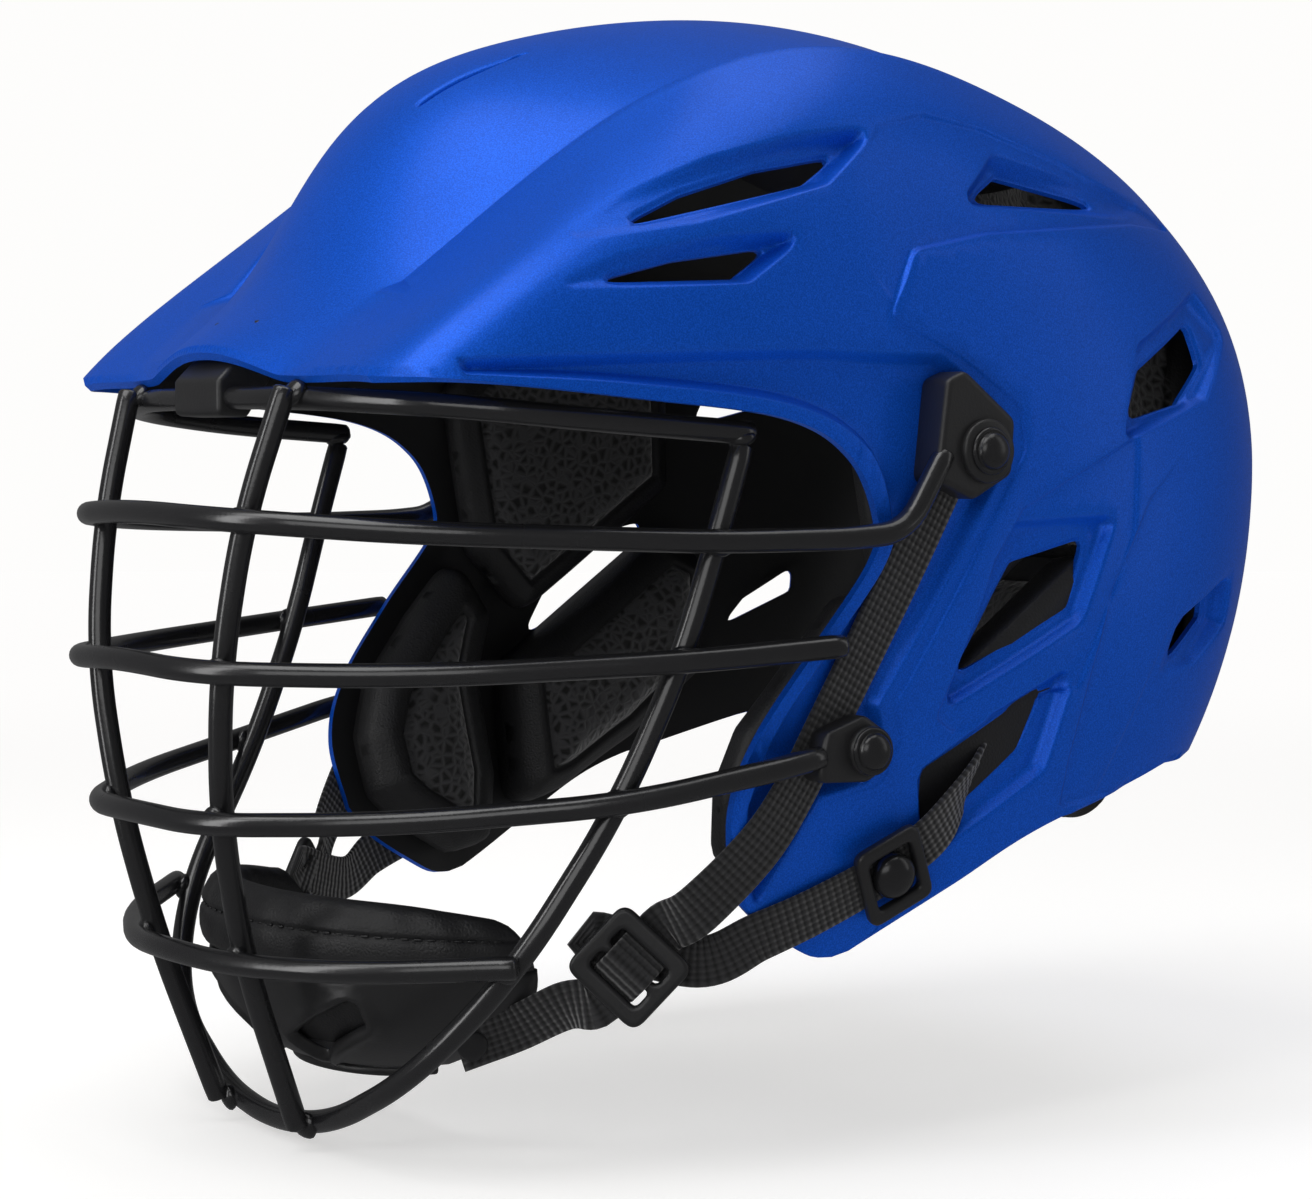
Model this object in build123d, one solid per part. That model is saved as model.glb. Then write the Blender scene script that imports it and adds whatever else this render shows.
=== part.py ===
from build123d import *
from math import radians, sin, cos, tan, sqrt, hypot
import os

# Lacrosse helmet: a moulded shell with its own visor, a welded wire face mask, foam pads,
# and a four-point chin strap with a hard chin cup.
# +X is the wearer's left, -Y is the front, +Z is up, and the origin is the centre of the head.

os.makedirs("parts", exist_ok=True)

# Driving dimensions in millimetres
head_radius = 100.0
wall = 3.4
channel_depth = 4.0
channel_wall = 3.0
vent_recess_depth = 2.2
clearance = 0.4
wire = 6.0
strap_width = 13.0
strap_thick = 1.6
bolt_d = 5.0
bolt_head_d = 14.0
bolt_head_rise = 3.6
bolt_end = 1.0
nut_d = 10.0
nut_height = 3.0
arc_share = 0.46
clip_chamfer = 1.2
clip_corner = 2.6
adjuster_size = (24.0, 22.0)
adjuster_window = (16.0, 5.0)
adjuster_bar = 2.6
buckle_thick = 3.2
buckle_corner = 3.5
snap_size = (22.0, 20.0)
snap_window = (14.4, 13.6)
snap_post_d = 7.0
lower_end_share = 0.42
snap_cap_d = 12.0
snap_cap_rise = 3.2
snap_gap = 0.5
cup_wall = 3.0
cup_pad = 9.0
cup_opening = 12.0
cup_slot_reach = 60.0
snap_stud_depth = 5.4
snap_head = 2.4
rivet_d = 8.0
pad_gap = 0.5
front_pad_thick = 20.0
crown_pad_thick = 16.0
rear_pad_thick = 17.0
temple_pad_thick = 15.0
jaw_pad_thick = 18.0
ear_pad_thick = 24.0
nape_pad_thick = 16.0
pad_corner = 7.0
slot_depth = 2.4

# Shell sections: half outlines in planes that fan out from one line below the jaw.
# Each row holds the crown radius, the shoulder crease, the Bezier handles past it,
# the half width, its radius, the handle above it and the half width at the foot.
shell_reach_share = 1.6
fan_line_shares = (-0.45, -1.20)
foot_radius_share = 0.25
section_angles = (128.0, 121.9, 114.0, 105.0, 95.0, 85.0, 73.0, 60.0, 49.0, 38.0, 27.0, 16.0)
section_shares = (
    (2.187, 0.30, 2.095, 0.62, 0.12, 1.06, 1.25, 1.00, 0.92),
    (2.214, 0.36, 2.140, 0.60, 0.06, 1.08, 1.25, 1.05, 0.92),
    (2.270, 0.45, 2.185, 0.56, 0.00, 1.10, 1.25, 1.10, 0.93),
    (2.570, 0.57, 2.330, 0.46, 0.08, 1.12, 1.30, 1.02, 0.94),
    (2.735, 0.70, 2.542, 0.36, 0.40, 1.13, 1.35, 0.90, 0.95),
    (2.815, 0.78, 2.674, 0.26, 0.80, 1.13, 1.35, 0.84, 0.96),
    (2.865, 0.78, 2.700, 0.28, 0.76, 1.12, 1.35, 0.86, 0.97),
    (2.865, 0.70, 2.730, 0.34, 0.58, 1.11, 1.35, 0.90, 0.97),
    (2.790, 0.60, 2.680, 0.40, 0.42, 1.10, 1.25, 0.96, 0.97),
    (2.440, 0.52, 2.365, 0.38, 0.30, 1.07, 1.15, 0.82, 0.97),
    (1.940, 0.46, 1.880, 0.36, 0.32, 1.02, 1.00, 0.60, 0.95),
    (1.370, 0.42, 1.310, 0.34, 0.40, 0.96, 0.75, 0.42, 0.90),
)

# Side-view outlines as (y, z) shares of the head radius, in runs: a run of three or more
# points is one smooth curve, and straight lines join the runs
shell_edge_shares = (
    ((-1.824, 1.007), (-1.575, 0.605)),
    ((-1.50, 0.60), (-1.00, 0.55), (-0.56, 0.50), (-0.36, 0.40), (-0.28, 0.24), (-0.30, 0.14),
     (-0.46, -0.06), (-0.62, -0.28), (-0.68, -0.46), (-0.65, -0.66)),
    ((-0.56, -0.76), (-0.38, -0.87)),
    ((-0.27, -0.86), (0.02, -0.71), (0.32, -0.57), (0.82, -0.44), (1.60, -0.46)),
    ((2.20, -0.46), (2.20, 2.00)),
    ((-1.824, 2.00),),
)
channel_shares = (
    ((-1.42, 0.635), (-1.00, 0.65), (-0.50, 0.665), (-0.26, 0.66)),
    ((-0.07, 0.66), (0.145, 0.51)),
    ((0.155, 0.42), (-0.275, -0.22)),
    ((-0.245, -0.31), (-0.28, -0.41)),
    ((-0.42, -0.44), (-0.47, -0.51)),
    ((-0.57, -0.71), (-0.60, -0.66)),
    ((-0.635, -0.46), (-0.575, -0.28), (-0.415, -0.06), (-0.255, 0.14), (-0.235, 0.25),
     (-0.31, 0.43), (-0.54, 0.54), (-1.00, 0.59), (-1.42, 0.61)),
)
channel_back_shares = (
    ((-1.45, 0.667), (-1.00, 0.682), (-0.50, 0.697), (-0.26, 0.692)),
    ((-0.05, 0.692), (0.18, 0.525)),
    ((0.188, 0.41), (-0.24, -0.225)),
    ((-0.213, -0.305), (-0.25, -0.432)),
    ((-0.40, -0.468), (-0.442, -0.525)),
    ((-0.545, -0.74), (-0.67, -0.72)),
    ((-0.73, -0.46), (-0.67, -0.26), (-0.51, -0.04), (-0.35, 0.14), (-0.33, 0.25),
     (-0.39, 0.37), (-0.56, 0.46), (-1.00, 0.51), (-1.45, 0.55)),
)

# Side-view outlines of the vents and windows: the recess first, then the hole in its floor
vent_shares = (
    (((-1.14, 0.92), (-0.94, 1.045), (-0.70, 1.14), (-0.44, 1.21), (-0.17, 1.25), (-0.38, 1.09),
      (-0.78, 0.98)),
     ((-0.99, 0.965), (-0.80, 1.06), (-0.57, 1.135), (-0.29, 1.19), (-0.43, 1.10), (-0.72, 1.03))),
    (((-1.20, 0.805), (-1.00, 0.89), (-0.73, 0.945), (-0.46, 0.966), (-0.66, 0.835)),
     ((-1.10, 0.825), (-0.85, 0.89), (-0.55, 0.935), (-0.69, 0.845))),
    (((0.05, 1.06), (0.22, 1.20), (0.86, 1.10), (0.72, 1.055)),
     ((0.13, 1.085), (0.26, 1.165), (0.70, 1.085))),
    (((0.56, 0.44), (0.64, 0.70), (0.95, 0.86), (1.08, 0.74), (0.92, 0.56)),
     ((0.63, 0.50), (0.69, 0.64), (0.93, 0.78), (0.96, 0.66), (0.84, 0.55))),
    (((-0.06, -0.25), (0.10, 0.14), (0.17, 0.235), (0.54, 0.25), (0.41, -0.03)),
     ((0.00, -0.17), (0.135, 0.05), (0.19, 0.13), (0.455, 0.19), (0.385, 0.01))),
    (((-0.12, -0.40), (0.12, -0.26), (0.39, -0.14), (0.29, -0.42), (0.05, -0.56), (-0.075, -0.63)),
     ((-0.075, -0.41), (0.31, -0.19), (0.22, -0.36), (-0.07, -0.575))),
    (((0.70, -0.20), (0.80, -0.04), (1.06, 0.08), (1.04, -0.06), (0.88, -0.16)),
     ((0.76, -0.155), (0.83, -0.07), (1.00, 0.03), (0.99, -0.05))),
)
crown_slot_shares = (
    (0.15, -1.06), (0.185, -0.95), (0.235, -0.82), (0.255, -0.76), (0.225, -0.90), (0.17, -1.05),
)
corner_share = 0.012

# Face mask wires, as (x, y, z) shares from the middle plane outwards
rail_shares = (
    (0, -1.41, -1.33), (0.30, -1.40, -1.29), (0.66, -1.37, -1.12), (0.90, -1.22, -0.84),
    (0.975, -0.97, -0.45), (1.015, -0.81, -0.09), (1.035, -0.72, 0.20), (1.040, -0.645, 0.440),
)
upright_shares = (
    (0.45, -1.595, 0.58), (0.405, -1.690, 0.25), (0.365, -1.735, -0.12), (0.30, -1.705, -0.50),
    (0.255, -1.62, -0.86), (0.225, -1.455, -1.31),
)
top_bar_shares = (
    (0, -1.580, 0.555), (0.45, -1.564, 0.553), (0.88, -1.38, 0.530), (1.03, -1.02, 0.492),
    (1.042, -0.615, 0.465),
)
bar_shares = (
    ((0, -1.805, 0.27), (0.427, -1.764, 0.255), (0.80, -1.42, 0.225), (1.095, -0.74, 0.20),
     (1.155, -0.40, 0.205)),
    ((0, -1.850, -0.10), (0.388, -1.803, -0.12), (0.78, -1.43, -0.12), (1.075, -0.82, -0.09),
     (1.168, -0.42, -0.06)),
    ((0, -1.810, -0.49), (0.320, -1.770, -0.50), (0.72, -1.46, -0.48), (1.042, -0.977, -0.43),
     (1.142, -0.62, -0.36)),
    ((0, -1.720, -0.85), (0.270, -1.675, -0.86), (0.62, -1.52, -0.85), (0.937, -1.232, -0.82)),
)
bar_1_end_shares = ((1.170, -0.275, 0.215), (1.162, -0.205, 0.255), (1.160, -0.100, 0.42))
bar_3_end_shares = ((1.142, -0.47, -0.335),)

# Clips, seen from the side
upper_clip_shares = (
    (-0.11, 0.60), (-0.05, 0.625), (0.115, 0.50), (0.105, 0.36), (-0.02, 0.295), (-0.145, 0.345),
)
lower_clip_shares = (
    (-0.47, -0.275), (-0.35, -0.235), (-0.275, -0.285), (-0.285, -0.375), (-0.34, -0.405),
    (-0.50, -0.40),
)
upper_bolt_share = (0.015, 0.42)
lower_bolt_share = (-0.345, -0.325)
upper_clip_x_shares = (1.070, 1.198)
lower_clip_x_shares = (1.040, 1.178)
upper_nut_x_share = 1.040
lower_nut_x_share = 1.012
brow_clip_shares = (
    (-1.625, 0.505), (-1.535, 0.505), (-1.47, 0.60), (-1.40, 0.80), (-1.50, 0.80), (-1.56, 0.66),
    (-1.625, 0.60),
)
brow_clip_half_share = 0.13

# Straps: centre points with the outward side of the webbing at each, as shares
upper_strap_shares = (
    ((1.101, -0.075, 0.325), (1, 0, 0)), ((1.100, -0.20, 0.11), (1, 0, 0)),
    ((1.082, -0.41, -0.25), (1, 0, -0.10)), ((1.078, -0.51, -0.42), (1, -0.05, -0.10)),
    ((1.066, -0.61, -0.56), (0.97, -0.25, -0.1)), ((0.975, -0.735, -0.715), (0.88, -0.45, 0)),
)
lower_strap_shares = (
    ((0.985, 0.20, -0.34), (0.85, 0.1, -0.5)), ((1.045, 0.07, -0.44), (0.80, 0.1, -0.60)),
    ((1.078, -0.06, -0.555), (0.97, 0, -0.25)), ((1.050, -0.20, -0.65), (0.97, 0, -0.25)),
    ((1.028, -0.40, -0.735), (0.98, -0.1, -0.18)), ((0.995, -0.56, -0.795), (0.92, -0.35, -0.15)),
    ((0.925, -0.70, -0.855), (0.82, -0.56, 0)),
)
chin_strap_shares = (
    ((0.700, -0.950, -0.975), (0.88, -0.45, -0.1)), ((0.600, -1.020, -1.035), (0.93, -0.30, -0.15)),
    ((0.548, -1.100, -1.070), (0.93, -0.30, -0.15)), ((0.520, -1.155, -1.090), (0.88, -0.42, -0.15)),
)
adjuster_share = (0.862, -0.862, -0.862)
adjuster_normal = (0.80, -0.58, 0.05)
adjuster_along = (-0.45, -0.50, -0.72)
chin_swing_share = (0, -0.882, -0.889)
chin_swing_angles = (0, 4, 8, 12)
snap_share = (1.050, -0.20, -0.65)
snap_normal = (0.97, 0, -0.25)
snap_along = (-0.10, -0.90, -0.42)
rivet_share = (0.535, -1.122, -1.080)
rivet_normal = (0.90, -0.36, -0.15)

# Chin cup: height, front, half width and back of each level, as shares
cup_level_shares = (
    (-0.70, 1.50, 0.60, 1.10), (-0.84, 1.525, 0.645, 1.00), (-0.98, 1.50, 0.62, 0.98),
    (-1.10, 1.43, 0.50, 1.02), (-1.20, 1.30, 0.30, 1.08),
)
cup_rim_share = -0.90
cup_slot_shares = ((0.12, -1.10), (0.40, -0.965), (0.385, -1.045), (0.15, -1.16))

# Pads: side-view regions inside the shell, with the half widths of the middle ones
front_pad_shares = ((-1.33, 0.67), (-1.20, 0.98), (-0.98, 1.26), (-0.66, 1.22), (-0.84, 0.67))
crown_pad_shares = ((-0.60, 1.00), (-0.60, 1.80), (0.55, 1.80), (0.55, 1.00))
rear_pad_shares = ((0.62, 0.10), (0.62, 1.20), (1.40, 1.20), (1.60, 0.10))
nape_pad_shares = ((0.72, 0.02), (1.60, 0.02), (1.60, -0.50), (1.15, -0.58), (0.66, -0.62))
temple_pad_shares = (
    (-0.21, 0.10), (-0.30, 0.60), (-0.10, 0.86), (0.48, 0.84), (0.50, 0.30), (-0.04, -0.10),
)
jaw_pad_shares = (
    (-0.27, 0.09), (-0.43, -0.09), (-0.59, -0.30), (-0.64, -0.46), (-0.62, -0.64), (-0.54, -0.725),
    (-0.38, -0.82), (-0.24, -0.80), (-0.20, -0.60), (-0.22, -0.30), (-0.16, -0.10),
)
ear_pad_shares = (
    (-0.11, -0.26), (0.10, -0.11), (0.46, 0.15), (0.62, 0.08), (0.62, -0.30), (0.34, -0.51),
    (0.06, -0.65), (-0.12, -0.70),
)
front_pad_half_share = 0.78
crown_pad_half_share = 0.58
rear_pad_half_share = 0.62
nape_pad_half_share = 0.60
side_pad_inner_share = 0.60


def mirror_x(shape):
    """The same piece on the wearer's other side."""
    return mirror(shape, about=Plane.YZ)


def fan_point(angle, x, r):
    """A point of the fan plane at this angle, x across and r from the fan line."""
    y = fan_line_shares[0] * head_radius + r * cos(radians(angle))
    z = fan_line_shares[1] * head_radius + r * sin(radians(angle))
    return Vector(x, y, z)


def lean(index):
    """How much further the plane cuts through a skin that leans to it along the crown."""
    low = max(index - 1, 0)
    high = min(index + 1, len(section_angles) - 1)
    turn = radians(section_angles[high] - section_angles[low])
    rate = (section_shares[high][0] - section_shares[low][0]) / turn
    return sqrt(1 + (rate / section_shares[index][0]) ** 2)


def half_outline(index, inset):
    """Ten Bezier control points of one half section, moved inwards by the inset."""
    row = [share * head_radius for share in section_shares[index]]
    crown, crease_x, crease_r, handle, _, half, wide_r, rise, foot_x = row
    slope = section_shares[index][4]
    foot_r = foot_radius_share * head_radius
    band_slope = 1.45 * (crown - crease_r) / crease_x
    points = (
        (0, crown, 0), (0.4 * crease_x, crown, 0),
        (0.62 * crease_x, crease_r + 0.38 * crease_x * band_slope, band_slope),
        (crease_x, crease_r, (band_slope + slope) / 2),
        (crease_x + handle, crease_r - handle * slope, slope),
        (half, wide_r + rise, None), (half, wide_r, None),
        (half, wide_r - 0.4 * (wide_r - foot_r), None),
        (foot_x + 0.45 * (half - foot_x), foot_r + 0.35 * (wide_r - foot_r), None),
        (foot_x, foot_r, None),
    )
    moved = []
    for x, r, fall in points:
        if fall is None:
            moved.append((x - inset, r))
            continue
        size = hypot(fall, 1)
        moved.append((x - inset * fall / size, r - inset * lean(index) / size))
    return moved


def section_face(index, inset):
    """A closed section: both halves and the straight foot between them."""
    angle = section_angles[index]
    right = [fan_point(angle, x, r) for x, r in half_outline(index, inset)]
    left = [Vector(-p.X, p.Y, p.Z) for p in right]
    edges = [Bezier(*right[k:k + 4]) for k in (0, 3, 6)]
    edges.append(Line(right[9], left[9]))
    edges += [Bezier(*reversed(left[k:k + 4])) for k in (6, 3, 0)]
    return Face(Wire(edges))


def form(inset):
    """The solid inside the shell's outer skin, moved inwards by the inset."""
    return loft([section_face(k, inset) for k in range(len(section_angles))])


def side_face(runs):
    """A flat outline in the side view, from runs of (y, z) shares."""
    edges = []
    ends = []
    for run in runs:
        points = [Vector(y * head_radius, z * head_radius, 0) for y, z in run]
        if len(points) > 2:
            edges.append(Spline(*points))
        if len(points) == 2:
            edges.append(Line(*points))
        ends.append((points[0], points[-1]))
    for k in range(len(ends)):
        edges.append(Line(ends[k - 1][1], ends[k][0]))
    return Face(Wire(edges))


def polygon_face(shares, corner=None):
    """A polygon in the side view with softened corners."""
    points = [Vector(y * head_radius, z * head_radius, 0) for y, z in shares]
    face = Face(Wire.make_polygon(points, close=True))
    return face.fillet_2d(corner or corner_share * head_radius, face.vertices())


def across(face, half=None):
    """A side-view face drawn through the helmet from side to side."""
    reach = (half or shell_reach_share) * head_radius
    return extrude(Plane.YZ.offset(-reach) * face, 2 * reach, dir=(1, 0, 0))


def place(share):
    """A point from its shares of the head radius."""
    return Vector(*share) * head_radius


def save(name, shape):
    """Write one piece, left and right halves apart when it is a pair."""
    export_step(shape, f"parts/{name}.step")
    print(name, round(shape.volume), shape.is_valid, len(shape.solids()))


def save_pair(name, left):
    """Write a left piece and its mirror on the right."""
    save(name + "_left", left)
    save(name + "_right", mirror_x(left))


def both_halves(shares):
    """Points from the far right end over the middle to the left end."""
    left = [place(share) for share in shares]
    right = [Vector(-p.X, p.Y, p.Z) for p in left]
    first = 1 if shares[0][0] == 0 else 0
    return list(reversed(right)) + left[first:]


def wire_path(points):
    """Straight runs joined by tangent arcs as large as the runs allow."""
    radii = []
    for k in range(1, len(points) - 1):
        before = points[k - 1] - points[k]
        after = points[k + 1] - points[k]
        turn = radians(180 - before.get_angle(after))
        radii.append(arc_share * min(before.length, after.length) / tan(turn / 2))
    return FilletPolyline(*points, radius=radii)


def tube(points):
    """A round wire along such a path."""
    path = wire_path(points)
    section = Plane(origin=path @ 0, z_dir=path % 0) * Circle(wire / 2)
    return sweep(section, path=path)


def stations(shares):
    """Strap stations in millimetres with their outward sides."""
    return [(place(share), Vector(*out)) for share, out in shares]


def ribbon(course, width, thick):
    """A flat strap lofted through stations, each with its outward side."""
    points = [point for point, _ in course]
    faces = []
    for k in range(len(points)):
        before = points[max(k - 1, 0)]
        after = points[min(k + 1, len(points) - 1)]
        along = (after - before).normalized()
        out = course[k][1]
        out = (out - along * out.dot(along)).normalized()
        faces.append(Plane(origin=points[k], x_dir=out.cross(along), z_dir=along) * Rectangle(width, thick))
    return loft(faces, ruled=True)


def bolt_plane(share, x):
    """A plane on the shell's side at a bolt, facing outwards."""
    return Plane(origin=place((x, *share)), x_dir=(0, 1, 0), z_dir=(1, 0, 0))


def dome(radius, height):
    """A low round head standing on the plane."""
    ball = (radius * radius + height * height) / (2 * height)
    cap = Pos(0, 0, height - ball) * Sphere(ball)
    return cap & Cylinder(radius, height, align=(Align.CENTER, Align.CENTER, Align.MIN))


def rod(radius, low, high):
    """A round rod along the plane's axis between two heights."""
    return Pos(0, 0, low) * Cylinder(radius, high - low, align=(Align.CENTER, Align.CENTER, Align.MIN))


# Chin strap hardware that the other pieces are fitted round
adjuster_line = Vector(*adjuster_along)
adjuster_out = Vector(*adjuster_normal).normalized()
adjuster_line = (adjuster_line - adjuster_out * adjuster_line.dot(adjuster_out)).normalized()
adjuster_side = adjuster_out.cross(adjuster_line)
adjuster_plane = Plane(origin=place(adjuster_share), x_dir=adjuster_side, z_dir=adjuster_out)
window_step = (adjuster_window[1] + adjuster_bar) / 2
strap_back = buckle_thick / 2 + strap_thick
upper_end = place(adjuster_share) - adjuster_line * window_step
upper_course = stations(upper_strap_shares) + [(upper_end, adjuster_out)]
lower_end_step = adjuster_size[0] * lower_end_share
lower_end = place(adjuster_share) - adjuster_out * strap_back - adjuster_side * lower_end_step
lower_course = stations(lower_strap_shares) + [(lower_end, adjuster_out)]
chin_start = place(adjuster_share) + adjuster_line * window_step
chin_course = [(chin_start, adjuster_out)] + stations(chin_strap_shares)
snap_line = Vector(*snap_along)
snap_out = Vector(*snap_normal).normalized()
snap_line = (snap_line - snap_out * snap_line.dot(snap_out)).normalized()
snap_origin = place(snap_share) + snap_out * (strap_thick / 2)
snap_plane = Plane(origin=snap_origin, x_dir=snap_out.cross(snap_line), z_dir=snap_out)
room_width = strap_width + 2 * clearance
room_thick = strap_thick + 2 * clearance
upper_room = ribbon(upper_course, room_width, room_thick)
lower_room = ribbon(lower_course, room_width, room_thick)
stud_radius = snap_post_d / 2
stud = snap_plane * rod(stud_radius, -snap_stud_depth, snap_head)
stud_room = snap_plane * rod(stud_radius + clearance / 2, -2 * snap_stud_depth, 2 * snap_head)

# Shell
outer_form = form(0)
inner_form = form(wall)
channel_form = form(channel_depth)
channel_back_form = form(channel_depth + channel_wall)
recess_form = form(vent_recess_depth)
channel_face = side_face(channel_shares)
band_prism = across(side_face(channel_back_shares))
thick_zone = band_prism - channel_back_form
shell = outer_form - (inner_form - thick_zone)
shell &= across(side_face(shell_edge_shares))
shell -= across(channel_face) - channel_form
for recess, hole in vent_shares:
    shell -= across(polygon_face(recess)) - recess_form
    shell -= across(polygon_face(hole))
slot_points = [(x * head_radius, y * head_radius) for x, y in crown_slot_shares]
slot_face = make_face(Polyline(*slot_points, close=True))
slot_prism = extrude(Pos(0, 0, head_radius) * slot_face, head_radius)
shell -= (slot_prism + mirror_x(slot_prism)) - form(slot_depth)
bolt_hole = bolt_d / 2 + clearance / 2
reach = shell_reach_share * head_radius
for share in (upper_bolt_share, lower_bolt_share):
    shell -= bolt_plane(share, 0) * rod(bolt_hole, -reach, reach)
shell -= upper_room + mirror_x(upper_room)
shell -= lower_room + mirror_x(lower_room)
shell -= stud_room + mirror_x(stud_room)
save("shell", shell)

# Face mask
bars = []
bar_1_half = bar_shares[0] + bar_1_end_shares
bar_3_half = bar_shares[2] + bar_3_end_shares
for half in (bar_1_half, bar_shares[1], bar_3_half, bar_shares[3]):
    bars.append(tube(both_halves(half)))
upright = tube([place(share) for share in upright_shares])
rail = tube(both_halves(rail_shares))
top_bar = tube(both_halves(top_bar_shares))
for k in range(4):
    upright -= bars[k]
    rail -= bars[k]
upright -= top_bar
rail -= top_bar
rail -= upright
rail -= mirror_x(upright)
for k in range(4):
    save(f"mask_bar_{k + 1}", bars[k])
save("mask_top_bar", top_bar)
save("mask_rail", rail)
save_pair("mask_upright", upright)

# Clips, bolts and nuts that hold the mask
mask_room = bars[0] + bars[2]
clip_room = Pos(-channel_depth, 0, 0) * ribbon(upper_course, room_width, room_thick + 2 * channel_depth)
channel_top_form = form(channel_depth - clearance)
nut_pockets = []
for name, shares, spot, span, nut_share in (
    ("upper", upper_clip_shares, upper_bolt_share, upper_clip_x_shares, upper_nut_x_share),
    ("lower", lower_clip_shares, lower_bolt_share, lower_clip_x_shares, lower_nut_x_share),
):
    low, high = [share * head_radius for share in span]
    block = extrude(Plane.YZ.offset(low) * polygon_face(shares, clip_corner), high - low, dir=(1, 0, 0))
    block = chamfer(block.faces().sort_by(Axis.X)[-1].edges(), clip_chamfer)
    block -= channel_top_form
    block -= bolt_plane(spot, 0) * rod(bolt_hole, 0, reach)
    block -= clip_room
    block -= mask_room
    save_pair(name + "_clip", block.solids().sort_by(SortBy.VOLUME)[-1])
    nut_high = nut_share * head_radius
    nut_low = nut_high - nut_height
    shank = rod(bolt_d / 2, nut_low - bolt_end, high)
    bolt = bolt_plane(spot, 0) * (Pos(0, 0, high) * dome(bolt_head_d / 2, bolt_head_rise) + shank)
    save_pair(name + "_bolt", bolt)
    nut = bolt_plane(spot, 0) * (rod(nut_d / 2, nut_low, nut_high) - rod(bolt_d / 2, 0, reach))
    save_pair(name + "_nut", nut)
    nut_pockets.append(bolt_plane(spot, 0) * rod(nut_d / 2 + pad_gap, nut_low - bolt_end - pad_gap, reach))

brow_clip = across(polygon_face(brow_clip_shares), brow_clip_half_share)
brow_clip &= form(wall + clearance)
brow_clip -= top_bar
save("brow_clip", brow_clip.solids().sort_by(SortBy.VOLUME)[-1])

# Adjusters and snaps
outline = RectangleRounded(*adjuster_size, buckle_corner)
outline -= Pos(0, window_step) * RectangleRounded(*adjuster_window, buckle_corner / 3)
outline -= Pos(0, -window_step) * RectangleRounded(*adjuster_window, buckle_corner / 3)
adjuster = extrude(adjuster_plane * outline, buckle_thick / 2, both=True)
save_pair("adjuster", adjuster)
outline = RectangleRounded(*snap_size, buckle_corner) - RectangleRounded(*snap_window, buckle_corner / 3)
frame = extrude(snap_plane * Pos(0, 0, snap_gap) * outline, buckle_thick, dir=snap_out)
save_pair("snap_frame", frame)
save_pair("snap_stud", stud)
cap = rod(snap_cap_d / 2, snap_gap, buckle_thick)
cap += Pos(0, 0, buckle_thick) * dome(snap_cap_d / 2, snap_cap_rise)
cap -= rod(stud_radius + clearance / 2, 0, snap_head + clearance)
save_pair("snap_cap", snap_plane * cap)


def cup_face(level, inset, opening):
    """One closed level of the chin cup, moved inwards and opened to the back."""
    z, front, half, back = [share * head_radius for share in level]
    front -= inset
    half -= inset
    bulge = front - 0.45 * (front - back)
    left = [Vector(0, -front, z), Vector(0.6 * half, -front, z)]
    left += [Vector(half, -bulge, z), Vector(half, -back, z)]
    right = [Vector(-p.X, p.Y, p.Z) for p in left]
    if not opening:
        return Face(Wire([Bezier(*left), Line(left[3], right[3]), Bezier(*reversed(right))]))
    far_left = left[3] + Vector(0, opening, 0)
    far_right = right[3] + Vector(0, opening, 0)
    sides = [Line(left[3], far_left), Line(far_left, far_right), Line(far_right, right[3])]
    return Face(Wire([Bezier(*left)] + sides + [Bezier(*reversed(right))]))


def cup_form(inset, opening=0):
    """The chin cup's solid, moved inwards; an opening frees its back and its top."""
    faces = [cup_face(level, inset, opening) for level in cup_level_shares]
    faces[-1] = Pos(0, 0, inset) * faces[-1]
    solid = loft(faces)
    if opening:
        solid += extrude(faces[0], opening, dir=(0, 0, 1))
    return solid


# Chin cup: a hard shell with two slots round a soft lining
cup_outer = cup_form(0)
below = (Align.CENTER, Align.CENTER, Align.MAX)
rim_box = Pos(0, 0, cup_rim_share * head_radius) * Box(*[4 * head_radius] * 3, align=below)
cup = cup_outer - cup_form(cup_wall, cup_opening)
cup &= rim_box
slot = polygon_face([(x, z) for x, z in cup_slot_shares])
slot = extrude(Plane.XZ.offset(head_radius) * slot, cup_slot_reach, dir=(0, -1, 0))
cup -= slot + mirror_x(slot)
rivet_plane = Plane(origin=place(rivet_share), x_dir=(0, 0, 1), z_dir=Vector(*rivet_normal))
rivet = Pos(0, 0, strap_thick / 2) * dome(rivet_d / 2, strap_thick)
rivet += rod(rivet_d / 4, -cup_wall, strap_thick)
rivet = rivet_plane * rivet
cup -= rivet + mirror_x(rivet)
save("chin_cup", cup.solids().sort_by(SortBy.VOLUME)[-1])
lining = cup_form(cup_wall + clearance)
pad_top = cup_outer - Pos(0, 0, clearance) * rim_box
lining += pad_top
lining -= cup_form(cup_wall + cup_pad, cup_opening)
lining -= rivet + mirror_x(rivet)
save("chin_pad", lining.solids().sort_by(SortBy.VOLUME)[-1])
save_pair("chin_rivet", rivet)

# Straps
upper_strap = ribbon(upper_course, strap_width, strap_thick) - adjuster
save_pair("upper_strap", upper_strap.solids().sort_by(SortBy.VOLUME)[-1])
lower_strap = ribbon(lower_course, strap_width, strap_thick) - adjuster - stud_room - upper_room
save_pair("lower_strap", lower_strap.solids().sort_by(SortBy.VOLUME)[-1])
chin_strap = ribbon(chin_course, strap_width, strap_thick) - cup_outer - rivet
swing_axis = Axis(place(chin_swing_share), (-1, 0, 0))
adjuster_room_size = [size + 2 * clearance for size in adjuster_size]
adjuster_room = adjuster_plane * RectangleRounded(*adjuster_room_size, buckle_corner)
adjuster_room = extrude(adjuster_room, buckle_thick / 2 + clearance, both=True)
for angle in chin_swing_angles:
    for room in (adjuster_room, upper_room, lower_room):
        chin_strap -= room.rotate(swing_axis, -angle)
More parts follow.
